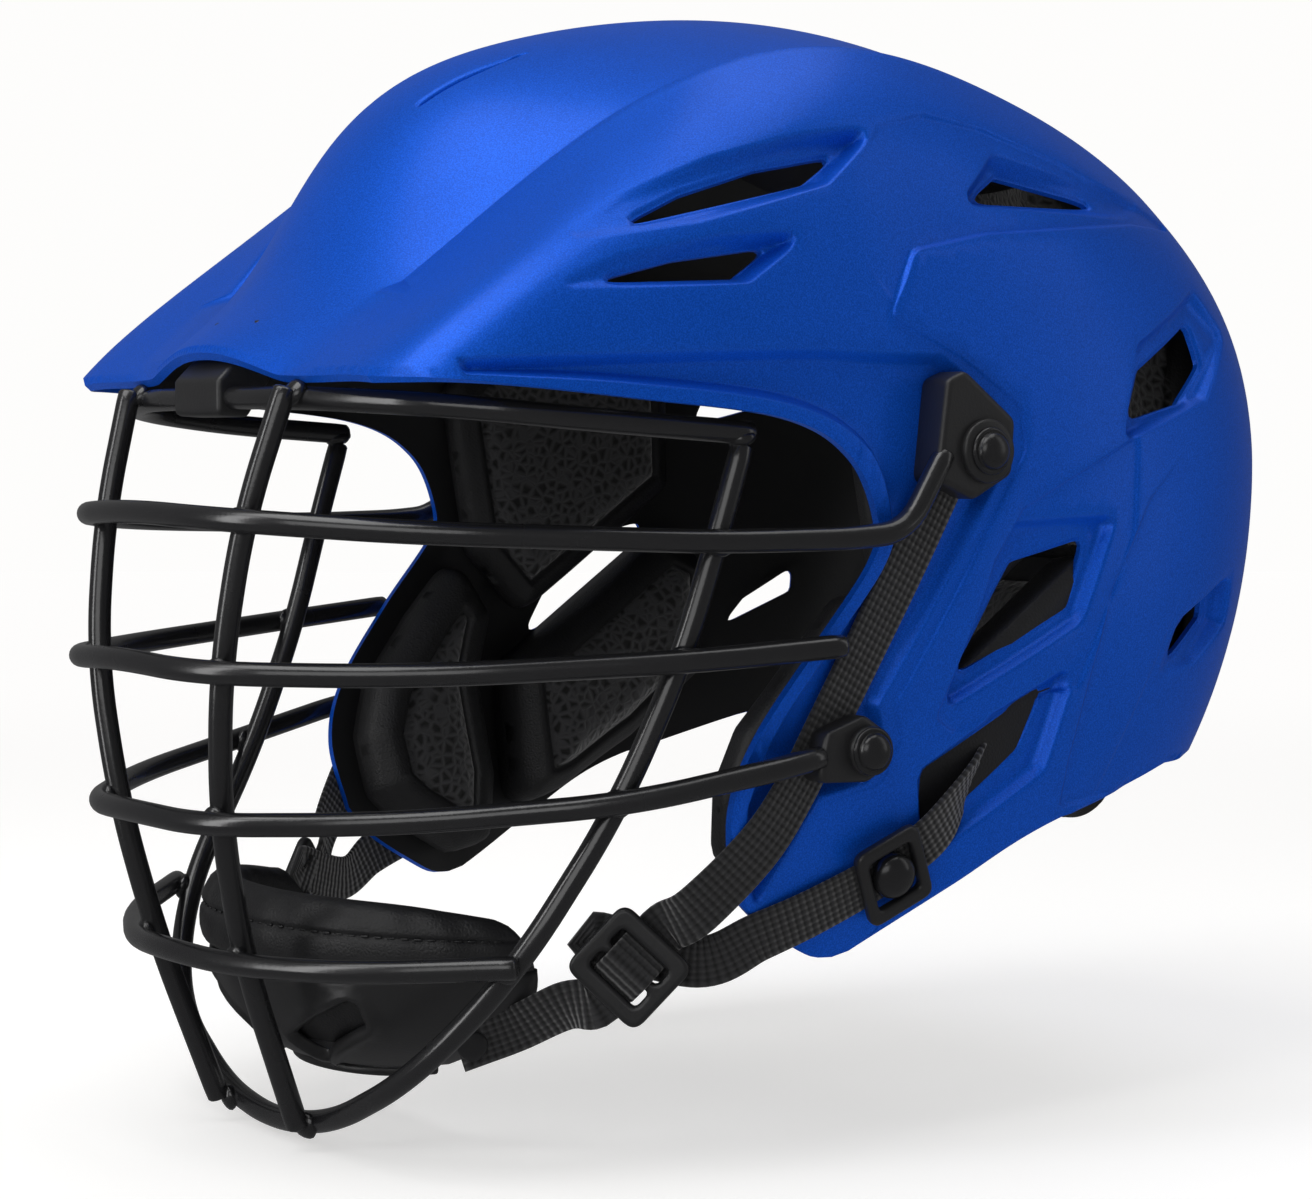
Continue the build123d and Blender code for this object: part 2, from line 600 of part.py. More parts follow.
save_pair("chin_strap", chin_strap.solids().sort_by(SortBy.VOLUME)[-1])

# Pads
free_form = form(wall + pad_gap)
channel_free_form = form(channel_depth + channel_wall + pad_gap)


def middle_pad(name, base, depth, thick, shares, half):
    """A pad on the middle plane, between the shell and the head."""
    pad = (base - form(depth + pad_gap + thick)) & across(polygon_face(shares, pad_corner), half)
    save(name, pad.solids().sort_by(SortBy.VOLUME)[-1])


middle_pad("crown_pad", free_form, wall, crown_pad_thick, crown_pad_shares, crown_pad_half_share)
middle_pad("rear_pad", free_form, wall, rear_pad_thick, rear_pad_shares, rear_pad_half_share)
middle_pad("nape_pad", free_form, wall, nape_pad_thick, nape_pad_shares, nape_pad_half_share)
band_depth = channel_depth + channel_wall
over_band = free_form - (Pos(0, 0, pad_gap) * band_prism - channel_free_form)
middle_pad("front_pad", over_band, band_depth, front_pad_thick, front_pad_shares, front_pad_half_share)
for name, shares, base, depth, thick, pocket in (
    ("temple_pad", temple_pad_shares, channel_free_form, band_depth, temple_pad_thick, nut_pockets[0]),
    ("jaw_pad", jaw_pad_shares, channel_free_form, band_depth, jaw_pad_thick, nut_pockets[1]),
    ("ear_pad", ear_pad_shares, free_form, wall, ear_pad_thick, None),
):
    inner_plane = Plane.YZ.offset(side_pad_inner_share * head_radius)
    region = extrude(inner_plane * polygon_face(shares, pad_corner), reach, dir=(1, 0, 0))
    pad = (base - form(depth + pad_gap + thick)) & region
    if pocket:
        pad -= pocket
    pad -= lower_room
    save_pair(name, pad.solids().sort_by(SortBy.VOLUME)[-1])
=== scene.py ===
# %% [markdown]
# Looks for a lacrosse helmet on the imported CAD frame.
# The shell is rebuilt as a fine skin from the same crown-to-foot sections as the CAD solid,
# with rolled edges round every opening. The wires, webbing, buckles, clips and pads follow.

# %%
import math

import bmesh
import bpy
import numpy as np
from mathutils import Matrix, Vector, geometry


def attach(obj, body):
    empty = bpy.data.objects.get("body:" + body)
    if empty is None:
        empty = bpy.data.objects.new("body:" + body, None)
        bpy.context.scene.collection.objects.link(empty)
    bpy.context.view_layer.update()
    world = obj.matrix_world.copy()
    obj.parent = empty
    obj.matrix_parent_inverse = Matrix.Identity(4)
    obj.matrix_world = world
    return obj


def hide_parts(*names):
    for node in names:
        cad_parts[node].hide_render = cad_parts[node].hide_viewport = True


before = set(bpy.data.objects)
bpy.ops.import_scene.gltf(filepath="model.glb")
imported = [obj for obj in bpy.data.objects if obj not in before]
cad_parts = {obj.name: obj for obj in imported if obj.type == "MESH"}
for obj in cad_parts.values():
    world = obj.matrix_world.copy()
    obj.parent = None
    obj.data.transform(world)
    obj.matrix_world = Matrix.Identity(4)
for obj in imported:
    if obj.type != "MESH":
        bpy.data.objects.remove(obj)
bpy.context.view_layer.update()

# %% [markdown]
# Sizes in metres, and the shell's section table in shares of the head radius.
# Each row: angle, crown radius, crease half width, crease radius, Bezier handle past the crease,
# its slope, widest half width, its radius, handle above it, foot half width.

# %%
R = 0.100
HY, HZ, FOOT = -0.45, -1.20, 0.25
ROWS = np.array([
    (16.0, 1.370, .42, 1.310, .34, .40, .96, .75, .42, .90),
    (27.0, 1.940, .46, 1.880, .36, .32, 1.02, 1.00, .60, .95),
    (38.0, 2.440, .52, 2.365, .38, .30, 1.07, 1.15, .82, .97),
    (49.0, 2.790, .60, 2.680, .40, .42, 1.10, 1.25, .96, .97),
    (60.0, 2.865, .70, 2.730, .34, .58, 1.11, 1.35, .90, .97),
    (73.0, 2.865, .78, 2.700, .28, .76, 1.12, 1.35, .86, .97),
    (85.0, 2.815, .78, 2.674, .26, .80, 1.13, 1.35, .84, .96),
    (95.0, 2.735, .70, 2.542, .36, .40, 1.13, 1.35, .90, .95),
    (105.0, 2.570, .57, 2.330, .46, .08, 1.12, 1.30, 1.02, .94),
    (114.0, 2.270, .45, 2.185, .56, .00, 1.10, 1.25, 1.10, .93),
    (121.9, 2.214, .36, 2.140, .60, .06, 1.08, 1.25, 1.05, .92),
    (128.0, 2.187, .30, 2.095, .62, .12, 1.06, 1.25, 1.00, .92)])
LIP = 121.9
WALL = 0.0034
CHANNEL = 0.0040
# The last t that still has skin on both sides of it.
FOOT_END = 2.9999


def spline(column, at):
    """A natural cubic spline through one column of the section table."""
    x, y = ROWS[:, 0], ROWS[:, column]
    n, h = len(x), np.diff(x)
    a = np.zeros((n, n))
    b = np.zeros(n)
    a[0, 0] = a[-1, -1] = 1
    for i in range(1, n - 1):
        a[i, i - 1:i + 2] = h[i - 1], 2 * (h[i - 1] + h[i]), h[i]
        b[i] = 3 * ((y[i + 1] - y[i]) / h[i] - (y[i] - y[i - 1]) / h[i - 1])
    c = np.linalg.solve(a, b)
    k = np.clip(np.searchsorted(x, at) - 1, 0, n - 2)
    t = at - x[k]
    slope = (y[k + 1] - y[k]) / h[k] - h[k] * (2 * c[k] + c[k + 1]) / 3
    return y[k] + slope * t + c[k] * t * t + (c[k + 1] - c[k]) / (3 * h[k]) * t ** 3


def section(angle, t):
    """x and r on the section at this angle: t runs 0 to 3 over crown, side and foot."""
    r0, w, r1, c, s2, wide, r3, h, foot = [spline(j, angle) for j in range(1, 10)]
    s1 = 1.45 * (r0 - r1) / w
    u = np.clip(t, 0, 2.999999)
    k = u.astype(int)
    u = u - k
    px = [np.choose(k, v) for v in ((0 * w, w, wide), (.4 * w, w + c, wide),
                                    (.62 * w, wide, foot + .45 * (wide - foot)), (w, wide, foot))]
    drop = r3 - FOOT
    pr = [np.choose(k, v) for v in ((r0, r1, r3), (r0, r1 - c * s2, r3 - .4 * drop),
                                    (r1 + .38 * w * s1, r3 + h, FOOT + .35 * drop), (r1, r3, FOOT + 0 * w))]
    b = [(1 - u) ** 3, 3 * (1 - u) ** 2 * u, 3 * (1 - u) * u * u, u ** 3]
    return sum(p * q for p, q in zip(px, b)), sum(p * q for p, q in zip(pr, b))


def skin(angle, t):
    """Points of the outer skin in metres."""
    angle, t = np.broadcast_arrays(np.asarray(angle, float), np.asarray(t, float))
    x, r = section(angle.ravel(), t.ravel())
    a = np.radians(angle.ravel())
    return R * np.stack([x, HY + r * np.cos(a), HZ + r * np.sin(a)], -1)


def skin_normals(angle, t):
    """Outward unit normals of the skin, from small steps both ways."""
    t = np.clip(t, 0.0, FOOT_END)
    da = skin(angle + .05, t) - skin(angle - .05, t)
    back, on = np.maximum(t - .004, 0.0), np.minimum(t + .004, FOOT_END)
    dt = skin(angle, on) - skin(angle, back)
    n = np.cross(da, dt)
    n /= np.maximum(np.linalg.norm(n, axis=1), 1e-12)[:, None]
    n[t < 1e-6, 0] = 0
    return n / np.linalg.norm(n, axis=1)[:, None]


def side_to_skin(y, z):
    """Angle and t of the skin's side point with this side-view place, in shares."""
    y, z = np.asarray(y, float), np.asarray(z, float)
    angle = np.degrees(np.arctan2(z - HZ, y - HY))
    r = np.hypot(z - HZ, y - HY)
    ts = np.linspace(0, 3, 241)
    a = np.repeat(angle, len(ts))
    table = section(a, np.tile(ts, len(angle)))[1].reshape(len(angle), -1)
    out = np.empty(len(angle))
    for i in range(len(angle)):
        out[i] = np.interp(-r[i], -table[i], ts)
    return angle, out


def reach_t(angle, x):
    """t on the section at each angle where the half width is x, in shares."""
    lo, hi = np.zeros(len(angle)), np.full(len(angle), 1.9)
    for _ in range(30):
        mid = (lo + hi) / 2
        under = section(angle, mid)[0] < x
        lo, hi = np.where(under, mid, lo), np.where(under, hi, mid)
    return (lo + hi) / 2


def top_to_skin(x, y):
    """Angle and t of the crown's point with this place seen from above, in shares."""
    lo, hi = np.full(len(x), 60.0), np.full(len(x), 121.0)
    for _ in range(30):
        mid = (lo + hi) / 2
        r = section(mid, reach_t(mid, x))[1]
        ahead = HY + r * np.cos(np.radians(mid)) < y
        lo, hi = np.where(ahead, lo, mid), np.where(ahead, mid, hi)
    return (lo + hi) / 2, reach_t((lo + hi) / 2, x)


# %% [markdown]
# Outlines in the side view, as (y, z) shares, the same as the CAD source's.

# %%
OPENING = [(-1.575, 0.605), (-1.50, 0.60), (-1.00, 0.55), (-0.56, 0.50), (-0.36, 0.40), (-0.28, 0.24),
           (-0.30, 0.14), (-0.46, -0.06), (-0.62, -0.28), (-0.68, -0.46), (-0.65, -0.66)]
JAW = [(-0.615, -0.715), (-0.555, -0.765), (-0.47, -0.82), (-0.385, -0.865), (-0.32, -0.872)]
HEM = [(-0.27, -0.86), (0.02, -0.71), (0.32, -0.57), (0.82, -0.44), (1.60, -0.46)]
CHANNEL_TOP = [(-1.42, 0.635), (-1.00, 0.65), (-0.50, 0.665), (-0.26, 0.66)]
CHANNEL_REAR = [(-0.07, 0.66), (0.145, 0.51), (0.155, 0.42), (-0.275, -0.22), (-0.245, -0.31),
                (-0.28, -0.41), (-0.42, -0.44), (-0.47, -0.51), (-0.57, -0.71), (-0.60, -0.66)]
CHANNEL_FRONT = [(-0.635, -0.46), (-0.575, -0.28), (-0.415, -0.06), (-0.255, 0.14), (-0.235, 0.25),
                 (-0.31, 0.43), (-0.54, 0.54), (-1.00, 0.59), (-1.42, 0.61)]
VENTS = [
    ([(-1.14, 0.92), (-0.94, 1.045), (-0.70, 1.14), (-0.44, 1.21), (-0.17, 1.25), (-0.38, 1.09),
      (-0.78, 0.98)],
     [(-0.99, 0.965), (-0.80, 1.06), (-0.57, 1.135), (-0.29, 1.19), (-0.43, 1.10), (-0.72, 1.03)],
     (-1.14, 0.92), (-0.17, 1.25)),
    ([(-1.20, 0.805), (-1.00, 0.89), (-0.73, 0.945), (-0.46, 0.966), (-0.66, 0.835)],
     [(-1.10, 0.825), (-0.85, 0.89), (-0.55, 0.935), (-0.69, 0.845)], (-1.20, 0.80), (-0.46, 0.966)),
    ([(0.05, 1.06), (0.22, 1.20), (0.86, 1.10), (0.72, 1.055)],
     [(0.13, 1.085), (0.26, 1.165), (0.70, 1.085)], (0.90, 1.08), (0.10, 1.10)),
    ([(0.56, 0.44), (0.64, 0.70), (0.95, 0.86), (1.08, 0.74), (0.92, 0.56)],
     [(0.63, 0.50), (0.69, 0.64), (0.93, 0.78), (0.96, 0.66), (0.84, 0.55)], (1.3, 0.66), (0.6, 0.6)),
    ([(-0.06, -0.25), (0.10, 0.14), (0.17, 0.235), (0.54, 0.25), (0.41, -0.03)],
     [(0.00, -0.17), (0.135, 0.05), (0.19, 0.13), (0.455, 0.19), (0.385, 0.01)], None, None),
    ([(-0.12, -0.40), (0.12, -0.26), (0.39, -0.14), (0.29, -0.42), (0.05, -0.56), (-0.075, -0.63)],
     [(-0.075, -0.41), (0.31, -0.19), (0.22, -0.36), (-0.07, -0.575)], None, None),
    ([(0.70, -0.20), (0.80, -0.04), (1.06, 0.08), (1.04, -0.06), (0.88, -0.16)],
     [(0.76, -0.155), (0.83, -0.07), (1.00, 0.03), (0.99, -0.05)], (0.7, -0.2), (1.0, 0.0)),
]
PANEL = [(-0.62, -0.74), (-0.44, -0.47), (-0.24, -0.42), (-0.19, -0.31), (-0.22, -0.22), (0.20, 0.42),
         (0.19, 0.53), (-0.01, 0.655), (-0.24, 0.755), (-0.14, 0.93), (0.11, 0.98), (0.73, 1.03),
         (1.02, 1.01), (1.10, 0.7), (0.9, 0.2), (0.5, -0.5), (0.0, -0.8)]


# Planes that sink at a crease: outline, drop in metres, how far the drop lasts in shares,
# and whether it fades upward.
PLANES = [
    ([(-0.17, 1.25), (-0.01, 1.29), (0.19, 1.265), (0.48, 1.19), (0.77, 1.10), (1.02, 1.03),
      (0.73, 1.035), (0.39, 1.005), (0.11, 0.98), (-0.14, 0.93), (-0.22, 0.80), (-0.40, 1.00)],
     .0012, .60, False),
    ([(0.90, 0.50), (0.66, 0.29), (0.52, 0.05), (0.43, -0.21), (0.38, -0.39), (0.36, -0.52),
      (1.60, -0.40), (1.60, 0.50)],
     .0011, .20, True),
    ([(0.19, 0.27), (0.40, 0.365), (0.62, 0.46), (0.60, 0.20), (0.50, 0.00), (0.40, -0.20),
      (-0.02, -0.30), (-0.08, -0.26), (0.08, 0.09)],
     .0010, .30, False)]
CROWN_SLOT = [(0.15, -1.06), (0.185, -0.95), (0.235, -0.82), (0.255, -0.76), (0.225, -0.90), (0.17, -1.05)]


def catmull(points, step=0.02):
    """A smooth curve through points, in even steps."""
    p = np.array([2 * np.array(points[0]) - points[1], *points, 2 * np.array(points[-1]) - points[-2]],
                 float)
    out = []
    for i in range(1, len(p) - 2):
        n = max(2, int(np.linalg.norm(p[i + 1] - p[i]) / step))
        u = np.linspace(0, 1, n, endpoint=False)[:, None]
        out.append(.5 * (2 * p[i] + (p[i + 1] - p[i - 1]) * u
                         + (2 * p[i - 1] - 5 * p[i] + 4 * p[i + 1] - p[i + 2]) * u ** 2
                         + (3 * p[i] - p[i - 1] - 3 * p[i + 1] + p[i + 2]) * u ** 3))
    return np.vstack(out + [p[-2:-1]])


def rounded(points, radius=0.03, step=0.016):
    """A closed outline with each corner rolled; flat corners take a wide roll."""
    p = np.array(points, float)
    out = []
    for i in range(len(p)):
        a, b = p[i - 1] - p[i], p[(i + 1) % len(p)] - p[i]
        la, lb = np.linalg.norm(a), np.linalg.norm(b)
        bend = math.acos(np.clip(a @ b / la / lb, -1, 1))
        cut = min(.46 * min(la, lb), radius / max(math.tan(bend / 2), .08))
        q0, q1 = p[i] + a / la * cut, p[i] + b / lb * cut
        n = max(4, int(cut / step * 1.6))
        for u in np.linspace(0, 1, n):
            out.append((1 - u) ** 2 * q0 + 2 * u * (1 - u) * p[i] + u * u * q1)
    out = np.array(out)
    return resample(out, step)


def resample(points, step):
    """A closed outline in near even steps."""
    p = np.vstack([points, points[:1]])
    d = np.r_[0, np.cumsum(np.linalg.norm(np.diff(p, axis=0), axis=1))]
    s = np.linspace(0, d[-1], max(8, int(d[-1] / step)), endpoint=False)
    return np.stack([np.interp(s, d, p[:, 0]), np.interp(s, d, p[:, 1])], 1)


def offset(points, amount):
    """A closed outline moved inwards by the amount."""
    ahead, back = np.roll(points, -1, 0), np.roll(points, 1, 0)
    d = ahead - back
    n = np.stack([-d[:, 1], d[:, 0]], 1) / np.maximum(np.linalg.norm(d, axis=1), 1e-9)[:, None]
    area = np.sum(points[:, 0] * ahead[:, 1] - points[:, 1] * ahead[:, 0])
    return points + n * amount * np.sign(area)


def inside(points, outline):
    """Which points lie inside a closed outline."""
    x, y = points[:, 0], points[:, 1]
    hit = np.zeros(len(points), bool)
    for (x1, y1), (x2, y2) in zip(outline, np.roll(outline, -1, 0)):
        if y1 == y2:
            continue
        cross = ((y1 > y) != (y2 > y)) & (x < (x2 - x1) * (y - y1) / (y2 - y1) + x1)
        hit ^= cross
    return hit


def distance(points, outline, closed=True):
    """Distance to an outline."""
    best = np.full(len(points), 9.0)
    ends = np.roll(outline, -1, 0) if closed else outline[1:]
    for a, b in zip(outline, ends):
        d = b - a
        u = np.clip(((points - a) @ d) / max(d @ d, 1e-12), 0, 1)
        best = np.minimum(best, np.linalg.norm(points - a - u[:, None] * d, axis=1))
    return best


def signed(points, outline):
    """Distance to a closed outline, positive inside."""
    return np.where(inside(points, outline), 1, -1) * distance(points, outline)


def ramp(value, start, end):
    """A smooth step from 0 to 1."""
    u = np.clip((value - start) / (end - start), 0, 1)
    return u * u * (3 - 2 * u)

# %% [markdown]
# Mesh helpers. `make` turns arrays into an object; every piece goes through it.

# %%
def make(name, verts, faces, smooth=True):
    """A mesh object from vertices and faces given as index lists."""
    mesh = bpy.data.meshes.new(name)
    mesh.from_pydata([tuple(v) for v in verts], [], [tuple(int(i) for i in f) for f in faces])
    mesh.validate()
    bm = bmesh.new()
    bm.from_mesh(mesh)
    bmesh.ops.recalc_face_normals(bm, faces=bm.faces)
    bm.to_mesh(mesh)
    bm.free()
    mesh.shade_smooth() if smooth else mesh.shade_flat()
    obj = bpy.data.objects.new(name, mesh)
    bpy.context.scene.collection.objects.link(obj)
    return obj


def dress(obj, body, nodes, material):
    """Tells the frame what a piece is, and gives it its material."""
    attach(obj, body)
    if nodes:
        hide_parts(*nodes)
    obj.data.materials.clear()
    obj.data.materials.append(material)
    return obj


def mirrored(verts):
    """The same points on the wearer's right."""
    return np.asarray(verts) * (-1, 1, 1)


def triangulate(boundary, holes, rings, grid):
    """Triangles of a flat region with holes, with the rings kept as edges."""
    points, edges = [], []
    for ring, closed in [(boundary, True)] + [(h, True) for h in holes] + rings:
        start = len(points)
        points += [tuple(p) for p in ring]
        count = len(ring)
        edges += [(start + i, start + (i + 1) % count) for i in range(count if closed else count - 1)]
    points += [tuple(p) for p in grid]
    got = geometry.delaunay_2d_cdt([Vector(p) for p in points], edges, [], 0, 1e-6)
    verts = np.array([tuple(v) for v in got[0]])
    faces = np.array([f for f in got[2] if len(f) == 3])
    middle = verts[faces].mean(1)
    keep = inside(middle, boundary)
    for hole in holes:
        keep &= ~inside(middle, hole)
    return verts, faces[keep]


def rim_edges(faces):
    """Edges that only one triangle uses."""
    e = np.sort(np.vstack([faces[:, [0, 1]], faces[:, [1, 2]], faces[:, [2, 0]]]), 1)
    unique, count = np.unique(e, axis=0, return_counts=True)
    return unique[count == 1]

# %% [markdown]
# The shell. One half is triangulated flat, in skin coordinates in shares (u along the
# fan, v down the section), with rings on both sides of every edge so that the edges roll.
# The depth at each point then follows from its distance to the outlines in the side view.

# %%
# Shares for each degree of the fan and for each unit of t, and the fan's first angle.
U, V = 0.045, 0.80
FAN_START = 16
# Depths of the relief, in metres.
RECESS, RECESS_TIP, RECESS_GROWTH, HOLE_ROLL = .0040, .0004, .0046, .0009
SLOT_DEPTH, EDGE_ROLL, CREASE_DROP, CREASE_LIP, PANEL_RISE = .0030, .0011, .0013, .0006, .0011


def to_uv(angle, t):
    """Flat skin coordinates of a fan angle and t."""
    return np.stack([(np.asarray(angle) - FAN_START) * U, np.asarray(t) * V], -1)


def shares_to_uv(points):
    """Flat skin coordinates of side-view places in shares."""
    return to_uv(*side_to_skin(points[:, 0], points[:, 1]))


def uv_side(uv):
    """Side-view place, in shares, of flat skin coordinates."""
    p = skin(uv[:, 0] / U + FAN_START, uv[:, 1] / V) / R
    return p[:, 1:]


opening = catmull(OPENING[1:], .016)
hem = catmull(HEM[:-1], .02)
rear_t = np.linspace(2.05, 0, 70)
rear = []
for t in rear_t:
    lo, hi = 17.0, 40.0
    for _ in range(30):
        mid = (lo + hi) / 2
        p = skin(mid, t)[0] / R
        want = np.interp(p[1], (.32, .82, 1.60), (-.57, -.44, -.46))
        lo, hi = (mid, hi) if p[2] < want else (lo, mid)
    rear.append((mid, t))
rear = np.array(rear)
hem_angle, hem_t = side_to_skin(hem[:, 0], hem[:, 1])
hem_keep = hem_t > 2.08
side_pts = np.vstack([opening, catmull(JAW, .02)])
side_angle, side_t = side_to_skin(side_pts[:, 0], side_pts[:, 1])
lip_t = np.linspace(0, side_to_skin([-1.575], [0.605])[1][0], 60)
edge = np.vstack([
    np.stack([np.full(60, LIP), lip_t], 1), np.stack([side_angle, side_t], 1),
    np.stack([hem_angle, hem_t], 1)[hem_keep], rear])
seam_angle = np.linspace(rear[-1, 0], LIP, 220)[1:-1]
edge_uv = to_uv(edge[:, 0], edge[:, 1])
seam_uv = to_uv(seam_angle, 0 * seam_angle)
boundary = np.vstack([edge_uv, seam_uv])
edge_side = skin(edge[:, 0], edge[:, 1]) / R

channel = np.vstack([catmull(CHANNEL_TOP, .02), np.array(CHANNEL_REAR), catmull(CHANNEL_FRONT, .02)])
channel = resample(channel, .016)
recesses = [rounded(v[0], .03) for v in VENTS]
holes = [rounded(v[1], .022, .014) for v in VENTS]
panel = rounded(PANEL, .03)
crown_slot = rounded(CROWN_SLOT, .010, .008)
planes = [rounded(p[0], .012) for p in PLANES]


def shell_depth(side, uv):
    """How far the skin sinks below the base form at each side-view place."""
    x_share = skin(uv[:, 0] / U + FAN_START, uv[:, 1] / V)[:, 0] / R
    out = CHANNEL * ramp(signed(side, channel), -.012, .022)
    deep_zone = out.copy()
    for (_, _, low, high), ring, gap in zip(VENTS, recesses, holes):
        away = signed(side, ring)
        depth = np.full(len(side), RECESS)
        if low is not None:
            low, high = np.array(low), np.array(high)
            along = ((side - low) @ (high - low)) / ((high - low) @ (high - low))
            depth = RECESS_TIP + RECESS_GROWTH * ramp(along, -.05, 1.0)
        out += depth * ramp(away, -.010, .024)
        out += HOLE_ROLL * (1 - ramp(-signed(side, gap), .0, .014))
    near = np.full(len(side), 9.0)
    px = np.column_stack([x_share, side])
    out += SLOT_DEPTH * ramp(np.where(px[:, 2] > 1.2, signed(px[:, :2], crown_slot), -1), -.006, .008)
    for a, b in zip(edge_side[:-1], edge_side[1:]):
        d = b - a
        s = np.clip(((px - a) @ d) / max(d @ d, 1e-12), 0, 1)
        near = np.minimum(near, np.linalg.norm(px - a - s[:, None] * d, axis=1))
    out += EDGE_ROLL * (1 - ramp(near, .0, .014)) ** 2
    for (_, drop, length, fades_up), ring in zip(PLANES, planes):
        away = signed(side, ring)
        sunk = drop * ramp(away, -.008, .008) * np.exp(-np.maximum(away, 0) / length)
        sunk *= ramp(side[:, 0], -.32, .02)
        out += sunk * (1 - ramp(side[:, 1], .10, .46)) if fades_up else sunk
    crease = uv[:, 1] - V
    fade = ramp(uv[:, 0] / U + FAN_START, 24, 34) * (1 - ramp(uv[:, 0] / U + FAN_START, 108, 120))
    out += CREASE_DROP * (1 - ramp(crease, -.008, .006)) * np.exp(np.minimum(crease, 0) / .16) * fade
    out -= CREASE_LIP * ramp(crease, -.008, .006) * np.exp(-np.maximum(crease, 0) / .05) * fade
    step = ramp(signed(side, panel), -.004, .008)
    fade = (1 - ramp(side[:, 0], .35, .85)) * ramp(side[:, 1], -.7, .1)
    out -= PANEL_RISE * step * fade * (1 - ramp(signed(side, channel), -.02, 0.0))
    return out, deep_zone


spacing = .021
gu = np.arange(boundary[:, 0].min(), boundary[:, 0].max(), spacing)
gv = np.arange(spacing / 2, boundary[:, 1].max(), spacing * .87)
grid = np.array([(u + (spacing / 2 if j % 2 else 0), v) for j, v in enumerate(gv) for u in gu])
grid = grid[inside(grid, boundary)]
grid = grid[distance(grid, boundary) > .010]
rings = []
side_grid = uv_side(grid)
clear = np.ones(len(grid), bool)
for ring, steps in [(channel, (-.012, -.004, .005, .014, .022))] + [(r, (-.010, 0.0, .010, .020))
        for r in recesses] + [(panel, (-.004, .002, .008))] + [(p, (-.008, 0.0, .008)) for p in planes]:
    clear &= distance(side_grid, ring) > .030 if ring is channel else distance(side_grid, ring) > .026
    for s in steps:
        q = offset(ring, s)
        angle, t = side_to_skin(q[:, 0], q[:, 1])
        good = (angle < LIP - .4) & (t > .05) & (t < 2.95)
        uvq = to_uv(angle, t)
        good &= inside(uvq, boundary) & (distance(uvq, boundary) > .004)
        run = []
        for ok, p in zip(good, uvq):
            if ok:
                run.append(p)
            elif len(run) > 1:
                rings.append((np.array(run), False))
                run = []
            else:
                run = []
        if len(run) > 1:
            rings.append((np.array(run), bool(good.all())))
for t in (.970, .990, .999, 1.0075, 1.03):
    rings.append((to_uv(np.linspace(22, 112, 260), np.full(260, t)), False))
clear &= np.abs(grid[:, 1] / V - 1.0) > .075
for s in (-.008, .0, .009):
    q = offset(crown_slot, s)
    ring = to_uv(*top_to_skin(q[:, 0], q[:, 1]))
    rings.append((ring, True))
    clear &= distance(grid, ring) > .012
hole_uv = []
for gap in holes:
    hole_uv.append(shares_to_uv(gap))
    clear &= signed(side_grid, gap) < -.024
    for s in (-.006, -.014):
        rings.append((shares_to_uv(offset(gap, s)), True))
grid = grid[clear]
flat, tris = triangulate(boundary, hole_uv, rings, grid)
side = uv_side(flat)
angle, t = flat[:, 0] / U + FAN_START, flat[:, 1] / V
base = skin(angle, t)
normal = skin_normals(angle, t)
depth, deep = shell_depth(side, flat)
outer = base - normal * depth[:, None]
wall = np.maximum(WALL, deep + .003 * ramp(deep, .0002, .002) + WALL * (1 - ramp(deep, .0002, .002)))
inner = base - normal * np.maximum(wall, depth + .0014)[:, None]
on_seam = flat[:, 1] < 1e-6
outer[on_seam, 0] = 0
inner[on_seam, 0] = 0
rim = rim_edges(tris)
rim = rim[~(on_seam[rim[:, 0]] & on_seam[rim[:, 1]])]
count = len(flat)
walls = np.column_stack([rim[:, 0], rim[:, 1], rim[:, 1] + count, rim[:, 0] + count])
half = np.vstack([outer, inner])

# %% [markdown]
# Materials. Each is built from Object coordinates in metres, so grain and weave keep their size.

# %%
def material(name, color, rough, metallic=0.0, coat=0.0, coat_rough=0.1, specular=0.5, sheen=0.0):
    """A material with its even numbers on the shader's own sockets."""
    mat = bpy.data.materials.new(name)
    mat.use_nodes = True
    shader = mat.node_tree.nodes["Principled BSDF"]
    shader.inputs["Base Color"].default_value = (*color, 1)
    shader.inputs["Roughness"].default_value = rough
    shader.inputs["Metallic"].default_value = metallic
    shader.inputs["Coat Weight"].default_value = coat
    shader.inputs["Coat Roughness"].default_value = coat_rough
    shader.inputs["Specular IOR Level"].default_value = specular
    shader.inputs["Sheen Weight"].default_value = sheen
    return mat, mat.node_tree, shader


def node(tree, kind, **values):
    """A node with its inputs and settings."""
    n = tree.nodes.new(kind)
    for key, value in values.items():
        if hasattr(n, key):
            setattr(n, key, value)
        else:
            n.inputs[key.replace("_", " ")].default_value = value
    return n


